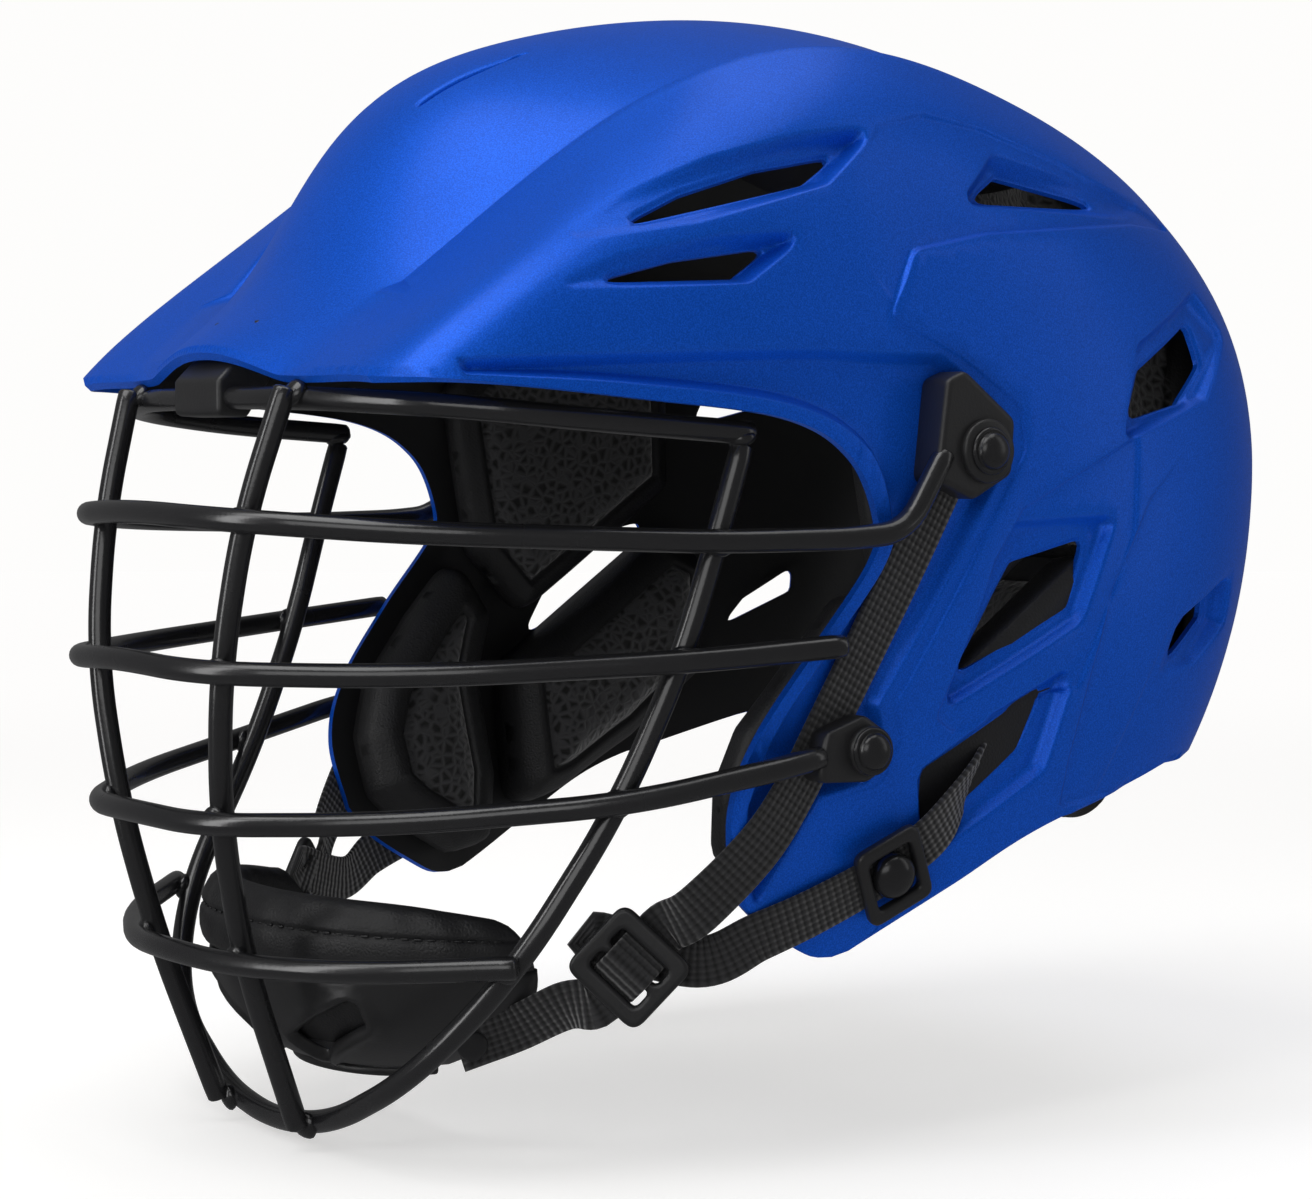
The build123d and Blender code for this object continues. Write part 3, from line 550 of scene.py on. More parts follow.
def grain_group():
    """Fine moulded grain: a bumped normal from two noises and a roughness that drifts."""
    g = bpy.data.node_groups.new("moulded grain", "ShaderNodeTree")
    for label, start in (("Size", 900.0), ("Depth", 0.00006), ("Rough low", 0.3), ("Rough high", 0.4)):
        g.interface.new_socket(label, in_out="INPUT", socket_type="NodeSocketFloat").default_value = start
    g.interface.new_socket("Roughness", in_out="OUTPUT", socket_type="NodeSocketFloat")
    g.interface.new_socket("Normal", in_out="OUTPUT", socket_type="NodeSocketVector")
    gi, go = g.nodes.new("NodeGroupInput"), g.nodes.new("NodeGroupOutput")
    coord = g.nodes.new("ShaderNodeTexCoord")
    fine = node(g, "ShaderNodeTexNoise", Detail=2.0, Roughness=.6)
    g.links.new(coord.outputs["Object"], fine.inputs["Vector"])
    g.links.new(gi.outputs["Size"], fine.inputs["Scale"])
    bump = node(g, "ShaderNodeBump", Strength=1.0)
    g.links.new(fine.outputs["Fac"], bump.inputs["Height"])
    g.links.new(gi.outputs["Depth"], bump.inputs["Distance"])
    broad = node(g, "ShaderNodeTexNoise", Scale=28.0, Detail=4.0)
    g.links.new(coord.outputs["Object"], broad.inputs["Vector"])
    span = node(g, "ShaderNodeMapRange")
    g.links.new(broad.outputs["Fac"], span.inputs["Value"])
    g.links.new(gi.outputs["Rough low"], span.inputs["To Min"])
    g.links.new(gi.outputs["Rough high"], span.inputs["To Max"])
    span.inputs["From Min"].default_value = .3
    span.inputs["From Max"].default_value = .7
    g.links.new(span.outputs["Result"], go.inputs["Roughness"])
    g.links.new(bump.outputs["Normal"], go.inputs["Normal"])
    return g


GRAIN = grain_group()


def grained(name, color, size, depth, low, high, **more):
    """A moulded or coated material with the shared grain."""
    mat, tree, shader = material(name, color, (low + high) / 2, **more)
    g = tree.nodes.new("ShaderNodeGroup")
    g.node_tree = GRAIN
    for key, value in (("Size", size), ("Depth", depth), ("Rough low", low), ("Rough high", high)):
        g.inputs[key].default_value = value
    tree.links.new(g.outputs["Roughness"], shader.inputs["Roughness"])
    tree.links.new(g.outputs["Normal"], shader.inputs["Normal"])
    return mat


BLUE = grained("satin blue shell", (0.003, 0.070, 0.50), 1500.0, .00005, .36, .46, metallic=.40,
               specular=.12, coat=.08, coat_rough=.20)
tree = BLUE.node_tree
shader = tree.nodes["Principled BSDF"]
speck = node(tree, "ShaderNodeTexNoise", Scale=2600.0, Detail=1.0)
coord = tree.nodes.new("ShaderNodeTexCoord")
tree.links.new(coord.outputs["Object"], speck.inputs["Vector"])
tint = tree.nodes.new("ShaderNodeValToRGB")
tint.color_ramp.elements[0].position = .35
tint.color_ramp.elements[0].color = (0.002, 0.066, 0.46, 1)
tint.color_ramp.elements[1].position = .68
tint.color_ramp.elements[1].color = (0.006, 0.104, 0.66, 1)
tree.links.new(speck.outputs["Fac"], tint.inputs["Fac"])
tree.links.new(tint.outputs["Color"], shader.inputs["Base Color"])
WIRE = grained("black powder coat", (0.010, 0.010, 0.011), 1100.0, .00004, .20, .30, coat=.35,
               coat_rough=.12)
BLACK = grained("black moulded plastic", (0.012, 0.012, 0.013), 1300.0, .00005, .34, .46)
DOME = grained("black domed cap", (0.010, 0.010, 0.011), 900.0, .00002, .22, .30)
HARD = grained("black chin shell", (0.013, 0.013, 0.014), 1500.0, .00005, .36, .48)
STEEL = grained("plain steel", (0.45, 0.45, 0.46), 1800.0, .00002, .28, .40, metallic=1.0)


def webbing_material():
    """Ribbed webbing: bars across the strap with a finer twill over them, and the weave's hollows painted
    darker as shade.
    """
    mat, tree, shader = material("woven webbing", (0.010, 0.010, 0.011), .78, sheen=.25, specular=.3)
    uv = tree.nodes.new("ShaderNodeAttribute")
    uv.attribute_name = "weave"
    split = tree.nodes.new("ShaderNodeSeparateXYZ")
    tree.links.new(uv.outputs["Vector"], split.inputs["Vector"])
    waves = []
    for axis, pitch in (("Y", .0021), ("X", .0016)):
        scale = node(tree, "ShaderNodeMath", operation="MULTIPLY")
        scale.inputs[1].default_value = 2 * math.pi / pitch
        tree.links.new(split.outputs[axis], scale.inputs[0])
        sine = node(tree, "ShaderNodeMath", operation="SINE")
        tree.links.new(scale.outputs[0], sine.inputs[0])
        waves.append(sine)
    weak = node(tree, "ShaderNodeMath", operation="MULTIPLY_ADD")
    weak.inputs[1].default_value = .45
    tree.links.new(waves[1].outputs[0], weak.inputs[0])
    tree.links.new(waves[0].outputs[0], weak.inputs[2])
    bump = node(tree, "ShaderNodeBump", Strength=1.0, Distance=.00022)
    tree.links.new(weak.outputs[0], bump.inputs["Height"])
    tree.links.new(bump.outputs["Normal"], shader.inputs["Normal"])
    # Painted shade: the colour follows the weave's height, darker in its hollows and lighter on its ribs.
    tint = tree.nodes.new("ShaderNodeValToRGB")
    tint.color_ramp.elements[0].color = (0.004, 0.004, 0.0045, 1)
    tint.color_ramp.elements[1].color = (0.022, 0.022, 0.024, 1)
    half = node(tree, "ShaderNodeMath", operation="MULTIPLY_ADD")
    half.inputs[1].default_value = .35
    half.inputs[2].default_value = .5
    tree.links.new(weak.outputs[0], half.inputs[0])
    tree.links.new(half.outputs[0], tint.inputs["Fac"])
    tree.links.new(tint.outputs["Color"], shader.inputs["Base Color"])
    return mat


WEB = webbing_material()


def mesh_cloth():
    """Spacer mesh over foam: small cells sunk in a knitted net, painted darker inside as shade."""
    mat, tree, shader = material("spacer mesh", (0.014, 0.014, 0.015), .85, sheen=.3, specular=.25)
    coord = tree.nodes.new("ShaderNodeTexCoord")
    cells = node(tree, "ShaderNodeTexVoronoi", Scale=330.0, feature="DISTANCE_TO_EDGE")
    tree.links.new(coord.outputs["Object"], cells.inputs["Vector"])
    # Painted shade: the net's strands are lighter and its sunk cells darker, by the distance to the cell
    # edges.
    net = tree.nodes.new("ShaderNodeValToRGB")
    net.color_ramp.elements[0].position = .10
    net.color_ramp.elements[0].color = (0.030, 0.030, 0.032, 1)
    net.color_ramp.elements[1].position = .30
    net.color_ramp.elements[1].color = (0.003, 0.003, 0.003, 1)
    tree.links.new(cells.outputs["Distance"], net.inputs["Fac"])
    tree.links.new(net.outputs["Color"], shader.inputs["Base Color"])
    bump = node(tree, "ShaderNodeBump", Strength=1.0, Distance=-.0007)
    tree.links.new(cells.outputs["Distance"], bump.inputs["Height"])
    tree.links.new(bump.outputs["Normal"], shader.inputs["Normal"])
    return mat


MESH = mesh_cloth()


def hide_cloth():
    """Soft leather cloth: pebbled with fine creases."""
    mat, tree, shader = material("leather cloth", (0.011, 0.011, 0.012), .5, specular=.4)
    coord = tree.nodes.new("ShaderNodeTexCoord")
    cells = node(tree, "ShaderNodeTexVoronoi", Scale=900.0, feature="DISTANCE_TO_EDGE")
    tree.links.new(coord.outputs["Object"], cells.inputs["Vector"])
    folds = node(tree, "ShaderNodeTexNoise", Scale=90.0, Detail=6.0)
    tree.links.new(coord.outputs["Object"], folds.inputs["Vector"])
    both = node(tree, "ShaderNodeMath", operation="MULTIPLY_ADD")
    both.inputs[1].default_value = .5
    tree.links.new(cells.outputs["Distance"], both.inputs[0])
    tree.links.new(folds.outputs["Fac"], both.inputs[2])
    bump = node(tree, "ShaderNodeBump", Strength=.8, Distance=.0004)
    tree.links.new(both.outputs[0], bump.inputs["Height"])
    tree.links.new(bump.outputs["Normal"], shader.inputs["Normal"])
    return mat


HIDE = hide_cloth()

# %% [markdown]
# The shell's two halves share the flat triangles: outer skin, inner skin and the walls between.

# %%
faces = [tuple(f) for f in tris] + [tuple(f[::-1] + count) for f in tris] + [tuple(f) for f in walls]
behind_brow = side[tris].mean(1)[:, 0] > -1.30
lined = np.zeros(len(faces), np.int32)
lined[len(tris):2 * len(tris)] = behind_brow


def relief(uv):
    """The finished outer skin at flat coordinates."""
    a, t = uv[:, 0] / U + FAN_START, np.clip(uv[:, 1] / V, 0, FOOT_END)
    return skin(a, t) - skin_normals(a, t) * shell_depth(uv_side(uv), uv)[0][:, None]


def relief_normals(uv, e=.0022):
    """Outward normals of the finished skin, from small steps both ways."""
    ahead, behind = uv + (0, e), np.column_stack([uv[:, 0], np.maximum(uv[:, 1] - e, 0)])
    n = np.cross(relief(uv + (e, 0)) - relief(uv - (e, 0)), relief(ahead) - relief(behind))
    n /= np.maximum(np.linalg.norm(n, axis=1), 1e-12)[:, None]
    n[(n * normal).sum(1) < 0] *= -1
    n[on_seam, 0] = 0
    return n / np.linalg.norm(n, axis=1)[:, None]


finish = relief_normals(flat)
for name, points, side_sign in (("shell_left_half", half, 1), ("shell_right_half", mirrored(half), -1)):
    obj = dress(make(name, points, faces), "helmet", ["shell"], BLUE)
    obj.data.materials.append(BLACK)
    obj.data.polygons.foreach_set("material_index", lined)
    mesh = obj.data
    flip = (side_sign, 1, 1)
    loop_normals = []
    for poly in mesh.polygons:
        for k in poly.vertices:
            if poly.index < len(tris):
                loop_normals.append(tuple(finish[k] * flip))
            elif poly.index < 2 * len(tris):
                loop_normals.append(tuple(-normal[k - count] * flip))
            else:
                loop_normals.append(tuple(poly.normal))
    mesh.normals_split_custom_set(loop_normals)

# %% [markdown]
# Wires, on the same runs and arcs as the CAD mask.

# %%
WIRE_R = 0.0030
RAIL = [(0, -1.41, -1.33), (0.30, -1.40, -1.29), (0.66, -1.37, -1.12), (0.90, -1.22, -0.84),
        (0.975, -0.97, -0.45), (1.015, -0.81, -0.09), (1.035, -0.72, 0.20), (1.040, -0.645, 0.440)]
UPRIGHT = [(0.45, -1.595, 0.58), (0.405, -1.690, 0.25), (0.365, -1.735, -0.12), (0.30, -1.705, -0.50),
           (0.255, -1.62, -0.86), (0.225, -1.455, -1.31)]
TOP = [(0, -1.580, 0.555), (0.45, -1.564, 0.553), (0.88, -1.38, 0.530), (1.03, -1.02, 0.492),
       (1.042, -0.615, 0.465)]
BARS = [[(0, -1.805, 0.27), (0.427, -1.764, 0.255), (0.80, -1.42, 0.225), (1.095, -0.74, 0.20),
         (1.155, -0.40, 0.205),
         (1.170, -0.275, 0.215), (1.162, -0.205, 0.255), (1.160, -0.100, 0.42)],
        [(0, -1.850, -0.10), (0.388, -1.803, -0.12), (0.78, -1.43, -0.12), (1.075, -0.82, -0.09),
         (1.168, -0.42, -0.06)],
        [(0, -1.810, -0.49), (0.320, -1.770, -0.50), (0.72, -1.46, -0.48), (1.042, -0.977, -0.43),
         (1.142, -0.62, -0.36), (1.142, -0.47, -0.335)],
        [(0, -1.720, -0.85), (0.270, -1.675, -0.86), (0.62, -1.52, -0.85), (0.937, -1.232, -0.82)]]


def arc_path(points, share=.46, step=.0016):
    """Points along straight runs joined by tangent arcs."""
    p = [np.array(q, float) * R for q in points]
    out = [p[0]]
    for k in range(1, len(p) - 1):
        a, b = p[k - 1] - p[k], p[k + 1] - p[k]
        la, lb = np.linalg.norm(a), np.linalg.norm(b)
        a, b = a / la, b / lb
        cut = share * min(la, lb)
        half_turn = (math.pi - math.acos(np.clip(a @ b, -1, 1))) / 2
        radius = cut / math.tan(half_turn)
        centre = p[k] + (a + b) / np.linalg.norm(a + b) * radius / math.cos(half_turn)
        start, end = p[k] + a * cut - centre, p[k] + b * cut - centre
        turn = 2 * half_turn
        n = max(3, int(radius * turn / step))
        for u in np.linspace(0, 1, n):
            w0, w1 = math.sin((1 - u) * turn) / math.sin(turn), math.sin(u * turn) / math.sin(turn)
            out.append(centre + start * w0 + end * w1)
    out.append(p[-1])
    fine = [out[0]]
    for q in out[1:]:
        last = fine[-1]
        gap = np.linalg.norm(q - last)
        if gap > 1e-7:
            n = max(1, int(round(gap / .004)))
            fine += [last + (q - last) * (i + 1) / n for i in range(n)]
    return np.array(fine)


def both_sides(points):
    left = [np.array(p, float) for p in points]
    right = [q * (-1, 1, 1) for q in left[::-1]]
    return right[:-1] + left if left[0][0] == 0 else right + left


def frames(path, start=(0, 0, 1)):
    """Steady side vectors along a path."""
    tan = np.gradient(path, axis=0)
    tan /= np.linalg.norm(tan, axis=1)[:, None]
    side = np.array(start, float)
    out = []
    for t in tan:
        side = side - t * (side @ t)
        side = side / np.linalg.norm(side)
        out.append(side.copy())
    side = np.array(out)
    return tan, side, np.cross(tan, side)


def wire(path, radius=WIRE_R, sides=20, start=(0, .2, 1)):
    """A round wire with rolled ends."""
    tan, side, up = frames(path, start)
    ring = np.linspace(0, 2 * math.pi, sides, endpoint=False)
    rolls = [(-.0000, .0), (.0001, .55), (.0004, .82), (.0009, .96)]
    rows = []
    rows_at = [(path[0] + tan[0] * d, side[0], up[0], radius * f) for d, f in rolls]
    rows_at += [(p, s, u, radius) for p, s, u in list(zip(path, side, up))[1:-1]]
    rows_at += [(path[-1] - tan[-1] * d, side[-1], up[-1], radius * f) for d, f in rolls[::-1]]
    for p, s, u, r in rows_at:
        rows.append(p + r * (np.cos(ring)[:, None] * s + np.sin(ring)[:, None] * u))
    verts = np.vstack(rows)
    faces = []
    for i in range(len(rows) - 1):
        for j in range(sides):
            k = (j + 1) % sides
            a, b = i * sides, (i + 1) * sides
            faces.append((a + j, a + k, b + k, b + j))
    return verts, faces


def tidy(obj, gap=1e-6):
    """Merges doubled points, so that ends and poles are closed."""
    bm = bmesh.new()
    bm.from_mesh(obj.data)
    bmesh.ops.remove_doubles(bm, verts=bm.verts, dist=gap)
    bmesh.ops.recalc_face_normals(bm, faces=bm.faces)
    bm.to_mesh(obj.data)
    bm.free()
    obj.data.shade_smooth()
    return obj


paths = {}
for k, bar in enumerate(BARS):
    paths[f"mask_bar_{k + 1}"] = arc_path(both_sides(bar))
paths["mask_rail"] = arc_path(both_sides(RAIL))
paths["mask_top_bar"] = arc_path(both_sides(TOP))
paths["mask_upright_left"] = arc_path(UPRIGHT)
paths["mask_upright_right"] = mirrored(paths["mask_upright_left"])
for name, path in paths.items():
    obj = tidy(make(name + "_look", *wire(path)), 1e-6)
    dress(obj, "helmet", [name], WIRE)

# %% [markdown]
# Weld beads: one flattened ball at each place where two wires of the mask touch.

# %%
def crossings(a, b, reach=.0066):
    """Places where two paths come closest: a point on each and the first one's direction."""
    gap = np.linalg.norm(a[:, None] - b[None], axis=2)
    found = []
    while gap.min() < reach:
        i, j = np.unravel_index(gap.argmin(), gap.shape)
        along = a[min(i + 1, len(a) - 1)] - a[max(i - 1, 0)]
        found.append((a[i], b[j], along / np.linalg.norm(along)))
        gap[np.linalg.norm(a - a[i], axis=1) < .02] = 9
    return found


def bead(p, q, along):
    """One weld bead between two wires: a ball pressed flat between them."""
    across_both = (p - q) / max(np.linalg.norm(p - q), 1e-9)
    one = along - across_both * (along @ across_both)
    one /= np.linalg.norm(one)
    two = np.cross(across_both, one)
    verts, faces, rows, cols = [], [], 9, 16
    for i in range(rows):
        a = math.pi * i / (rows - 1)
        for j in range(cols):
            b = 2 * math.pi * j / cols
            wobble = 1 + .05 * math.sin(3 * b + i)
            verts.append((p + q) / 2 + across_both * .0022 * math.cos(a)
                         + (one * .0040 * math.cos(b) + two * .0036 * math.sin(b)) * math.sin(a) * wobble)
    for i in range(rows - 1):
        for j in range(cols):
            k = (j + 1) % cols
            faces.append((i * cols + j, i * cols + k, (i + 1) * cols + k, (i + 1) * cols + j))
    return np.array(verts), faces


bead_verts, bead_faces = [], []
names = list(paths)
for i, first in enumerate(names):
    for second in names[i + 1:]:
        for spot in crossings(paths[first], paths[second]):
            v, f = bead(*spot)
            start = sum(map(len, bead_verts))
            bead_verts.append(v)
            bead_faces += [tuple(k + start for k in face) for face in f]
dress(tidy(make("mask_weld_beads", np.vstack(bead_verts), bead_faces), 1e-7), "helmet", [],
      WIRE)

# %% [markdown]
# Small forms: places to stand a piece, plates with rolled edges, turned heads and woven bands.

# %%
def unit(v):
    """The vector at length 1."""
    v = np.asarray(v, float)
    return v / np.linalg.norm(v)


def seat(origin, out, along=(0, 0, 1)):
    """A place to stand a piece: origin, side, along and outward unit vectors."""
    out = unit(out)
    along = unit(np.asarray(along, float) - out * (np.asarray(along, float) @ out))
    return np.asarray(origin, float), np.cross(along, out), along, out


def stand(points, place):
    """Local points (side, along, out) at a place."""
    origin, side_way, along, out = place
    p = np.asarray(points, float)
    return origin + p[:, :1] * side_way + p[:, 1:2] * along + p[:, 2:3] * out


def block(half_side, half_along, radius, shift=0.0):
    """A rounded rectangle's outline."""
    a, b = half_side, half_along
    return rounded([(a, b + shift), (-a, b + shift), (-a, -b + shift), (a, -b + shift)], radius, .0007)


def slab(outline, low, high, roll, gaps=()):
    """A plate between two heights with rolled edges, and gaps through it."""
    arcs = [(roll * (1 - math.sin(a)), roll * (1 - math.cos(a))) for a in np.linspace(0, math.pi / 2, 4)]
    hold = roll * 1.35
    lower = [(inset, low + rise) for inset, rise in arcs]
    upper = [(inset, high - rise) for inset, rise in arcs[::-1]]
    profile = [(hold, low)] + lower + upper + [(hold, high)]
    verts, faces, start = [], [], 0
    for curve, sign in [(outline, 1)] + [(g, -1) for g in gaps]:
        n = len(curve)
        for inset, z in profile:
            verts.append(np.column_stack([offset(curve, sign * inset), np.full(n, z)]))
        for i in range(len(profile) - 1):
            for j in range(n):
                a, b, k = start + i * n, start + (i + 1) * n, (j + 1) % n
                faces.append((a + j, a + k, b + k, b + j))
        start += n * len(profile)
    flat_cap, cap = triangulate(offset(outline, hold), [offset(g, -hold) for g in gaps], [],
                                np.zeros((0, 2)))
    for z in (low, high):
        verts.append(np.column_stack([flat_cap, np.full(len(flat_cap), z)]))
        faces += [tuple(f + start) for f in cap]
        start += len(flat_cap)
    return np.vstack(verts), faces


def turned(profile, sides=40):
    """A turned form from (radius, height) pairs, from one pole to the other."""
    ring = np.linspace(0, 2 * math.pi, sides, endpoint=False)
    rows = [np.column_stack([r * np.cos(ring), r * np.sin(ring), np.full(sides, h)]) for r, h in profile]
    verts = np.vstack(rows)
    faces = []
    for i in range(len(profile) - 1):
        for j in range(sides):
            a, b, k = i * sides, (i + 1) * sides, (j + 1) % sides
            faces.append((a + j, a + k, b + k, b + j))
    return verts, faces


def joined(*parts):
    """Several (vertices, faces) as one."""
    verts, faces, start = [], [], 0
    for v, f in parts:
        verts.append(v)
        faces += [tuple(int(i) + start for i in face) for face in f]
        start += len(v)
    return np.vstack(verts), faces


def pair(name, body, nodes, look, verts, faces, side_bodies=None):
    """A left piece and its mirror, each in place of its CAD node."""
    made = []
    for side_name, points in (("left", verts), ("right", mirrored(verts))):
        obj = tidy(make(f"{name}_{side_name}_look", points, faces), 2e-6)
        rides = f"{side_bodies}_{side_name}" if side_bodies else body
        made.append(dress(obj, rides, [f"{n}_{side_name}" for n in nodes], look))
    return made


SIDE = seat((0, 0, 0), (1, 0, 0))

# %% [markdown]
# Clips and bolts. A clip is a plate across the channel with a round boss under the bolt's head.

# %%
CLIPS = {
    "upper": ([(-0.11, 0.60), (-0.05, 0.625), (0.115, 0.50), (0.105, 0.36), (-0.02, 0.295),
               (-0.145, 0.345)],
              (0.015, 0.42), 1.070, 1.198, .0082, .0198),
    "lower": ([(-0.47, -0.275), (-0.35, -0.235), (-0.275, -0.285), (-0.285, -0.375), (-0.34, -0.405),
               (-0.50, -0.40)],
              (-0.345, -0.325), 1.040, 1.178, .0062, .0206)}
for name, (outline, bolt_at, low, high, boss, shank) in CLIPS.items():
    plate = slab(rounded(np.array(outline) * R, .0030, .0008), low * R, high * R - .0018, .0014)
    place = seat((high * R, bolt_at[0] * R, bolt_at[1] * R), (1, 0, 0))
    ring = turned([(0, -.004), (boss, -.004), (boss, -.0007), (boss - .0003, -.0002), (boss - .0009, 0),
                   (0, 0)])
    verts, faces = joined((stand(plate[0], SIDE), plate[1]), (stand(ring[0], place), ring[1]))
    pair(f"{name}_clip", "helmet", [f"{name}_clip"], BLACK, verts, faces)
    head = turned([(0, -shank), (.0021, -shank), (.0025, -shank + .0004), (.0025, .0), (.0058, .0),
                   (.0061, .0002), (.0061, .0006), (.0057, .0010), (.0052, .0011), (.0049, .0009),
                   (.0047, .0011), (.0046, .0017), (.0042, .0024), (.0034, .0030), (.0022, .0034),
                   (.0010, .00358), (0, .0036)])
    pair(f"{name}_bolt", "helmet", [f"{name}_bolt"], DOME, stand(head[0], place), head[1])
for side_name in ("left", "right"):
    for name in ("upper_nut", "lower_nut"):
        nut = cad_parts[f"{name}_{side_name}"]
        nut.data.materials.clear()
        nut.data.materials.append(STEEL)
BROW = [(-1.620, 0.51), (-1.535, 0.505), (-1.47, 0.60), (-1.44, 0.72), (-1.50, 0.76), (-1.56, 0.66),
        (-1.62, 0.60)]
brow = slab(rounded(np.array(BROW) * R, .0018, .0007), -.0128, .0128, .0012)
dress(tidy(make("brow_clip_look", stand(brow[0], SIDE), brow[1]), 2e-6), "helmet", ["brow_clip"],
      BLACK)

# %% [markdown]
# Straps. Each is a band through listed stations; it dips under the buckles' outer bars and
# rides over the adjuster's middle bar.

# %%
BAND_W, BAND_T = .0130, .0015


def band(course, width=BAND_W, thick=BAND_T, step=.0014):
    """A band through (point in metres, outward side) stations, and its weave lengths."""
    line = catmull([np.r_[np.asarray(p, float), unit(o) * .02] for p, o in course], step)
    path, out = line[:, :3], line[:, 3:]
    way = np.gradient(path, axis=0)
    way /= np.linalg.norm(way, axis=1)[:, None]
    out = out - way * np.sum(out * way, axis=1)[:, None]
    out /= np.linalg.norm(out, axis=1)[:, None]
    cross = np.cross(out, way)
    run = np.r_[0, np.cumsum(np.linalg.norm(np.diff(path, axis=0), axis=1))]
    flat_half, r = width / 2 - thick / 2, thick / 2
    top = [(a * flat_half, r * (1.0 - .10 * math.cos(3 * math.pi * a))) for a in np.linspace(-1, 1, 11)]
    turn = [(flat_half + r * math.cos(a), r * math.sin(a)) for a in (1.0, 0.0, -1.0)]
    loop = np.array(top + turn + [(-a, -b) for a, b in top] + [(-a, -b) for a, b in turn])
    n = len(loop)
    verts = np.vstack([p + loop[:, :1] * c + loop[:, 1:] * o for p, c, o in zip(path, cross, out)])
    weave = np.vstack([np.column_stack([loop[:, 0], np.full(n, s), np.zeros(n)]) for s in run])
    faces = [tuple(range(n)), tuple(range(len(verts) - n, len(verts)))]
    for i in range(len(path) - 1):
        for j in range(n):
            k = (j + 1) % n
            faces.append((i * n + j, i * n + k, (i + 1) * n + k, (i + 1) * n + j))
    return verts, faces, weave


def strap(name, body, course):
    """Both straps of a pair, with their weave attribute."""
    verts, faces, weave = band(course)
    for side_name, points in (("left", verts), ("right", mirrored(verts))):
        obj = make(f"{name}_{side_name}_look", points, faces)
        spot = obj.data.attributes.new("weave", "FLOAT_VECTOR", "POINT")
        spot.data.foreach_set("vector", weave.ravel())
        dress(obj, body, [f"{name}_{side_name}"], WEB)
    return verts


def at(share):
    """A place in metres from shares of the head radius."""
    return np.array(share, float) * R


ADJUSTER = seat(at((0.862, -0.862, -0.862)), (0.80, -0.58, 0.05), (-0.45, -0.50, -0.72))
SNAP_OUT = unit((0.97, 0, -0.25))
SNAP = seat(at((1.050, -0.20, -0.65)) + SNAP_OUT * .0008, SNAP_OUT, (-0.10, -0.90, -0.42))


def near(place, side_way, along, out, tilt=0.0):
    """A strap station in a buckle's own millimetres."""
    point = stand([(side_way * .001, along * .001, out * .001)], place)[0]
    return point, place[3] * math.cos(tilt) + place[2] * math.sin(tilt)


UPPER = [(at(p), o) for p, o in [
    ((1.112, -0.035, 0.40), (1, 0, 0)), ((1.106, -0.075, 0.325), (1, 0, 0)),
    ((1.104, -0.20, 0.11), (1, 0, 0)),
    ((1.088, -0.41, -0.25), (1, 0, -0.10)), ((1.080, -0.51, -0.42), (1, -0.05, -0.10)),
    ((1.060, -0.61, -0.56), (0.97, -0.25, -0.1)), ((0.975, -0.735, -0.715), (0.88, -0.45, 0))]]
UPPER += [near(ADJUSTER, 0, -13.5, -2.2), near(ADJUSTER, 0, -9.0, -2.6), near(ADJUSTER, 0, -6.0, -1.4, -.5),
          near(ADJUSTER, 0, -3.6, .9, -.5), near(ADJUSTER, 0, 0, 2.7), near(ADJUSTER, 0, 3.6, .9, .5),
          near(ADJUSTER, 0, 5.9, -1.3, .5)]
strap("upper_strap", "helmet", UPPER)
LOWER = [(at(p), o) for p, o in [
    ((0.985, 0.20, -0.34), (0.85, 0.1, -0.5)), ((1.045, 0.07, -0.44), (0.80, 0.1, -0.60)),
    ((1.078, -0.06, -0.555), (0.97, 0, -0.25)), ((1.050, -0.20, -0.65), (0.97, 0, -0.25)),
    ((1.028, -0.40, -0.735), (0.98, -0.1, -0.18)), ((0.995, -0.56, -0.795), (0.92, -0.35, -0.15)),
    ((0.925, -0.70, -0.855), (0.82, -0.56, 0))]]
LOWER += [near(ADJUSTER, 11.0, .5, -2.6), near(ADJUSTER, 5.0, .5, -4.0)]
strap("lower_strap", "helmet", LOWER)
CHIN = [near(ADJUSTER, 0, 5.0, -5.0), near(ADJUSTER, 0, 8.5, -4.9),
        near(ADJUSTER, 0, 13.0, -3.6)] + [(at(p), o) for p, o in [
    ((0.700, -0.950, -0.975), (0.88, -0.45, -0.1)), ((0.600, -1.020, -1.035), (0.93, -0.30, -0.15)),
    ((0.548, -1.100, -1.070), (0.93, -0.30, -0.15)), ((0.520, -1.155, -1.090), (0.88, -0.42, -0.15))]]
strap("chin_strap", "chin_piece", CHIN)

# %% [markdown]
# Buckles: the adjusters with two windows, and the snap frames with their studs and domed caps.

# %%
buckle = slab(block(.0120, .0110, .0038), -.0016, .0016, .0011,
              [block(.0080, .0025, .0014, .0038), block(.0080, .0025, .0014, -.0038)])
pair("adjuster", "helmet", ["adjuster"], BLACK, stand(buckle[0], ADJUSTER), buckle[1])
snap = slab(block(.0110, .0100, .0032), .0005, .0037, .0011, [block(.0072, .0068, .0016)])
pair("snap_frame", "helmet", ["snap_frame"], BLACK, stand(snap[0], SNAP), snap[1])
stud = turned([(0, -.0054), (.0033, -.0054), (.0035, -.0052), (.0035, -.0002), (.0026, 0), (.0024, .0008),
               (.0029, .0013), (.0032, .0018), (.0029, .0023), (.0015, .0024), (0, .0024)])
pair("snap_stud", "helmet", ["snap_stud"], STEEL, stand(stud[0], SNAP), stud[1])
cap = turned([(0, .0029), (.0034, .0029), (.0036, .0027), (.0036, .0006), (.0053, .0005), (.0058, .0009),
              (.0060, .0016), (.0060, .0029), (.0058, .0037), (.0052, .0046), (.0042, .0054), (.0029,
                      .0060), (.0014, .0063), (0, .0064)])
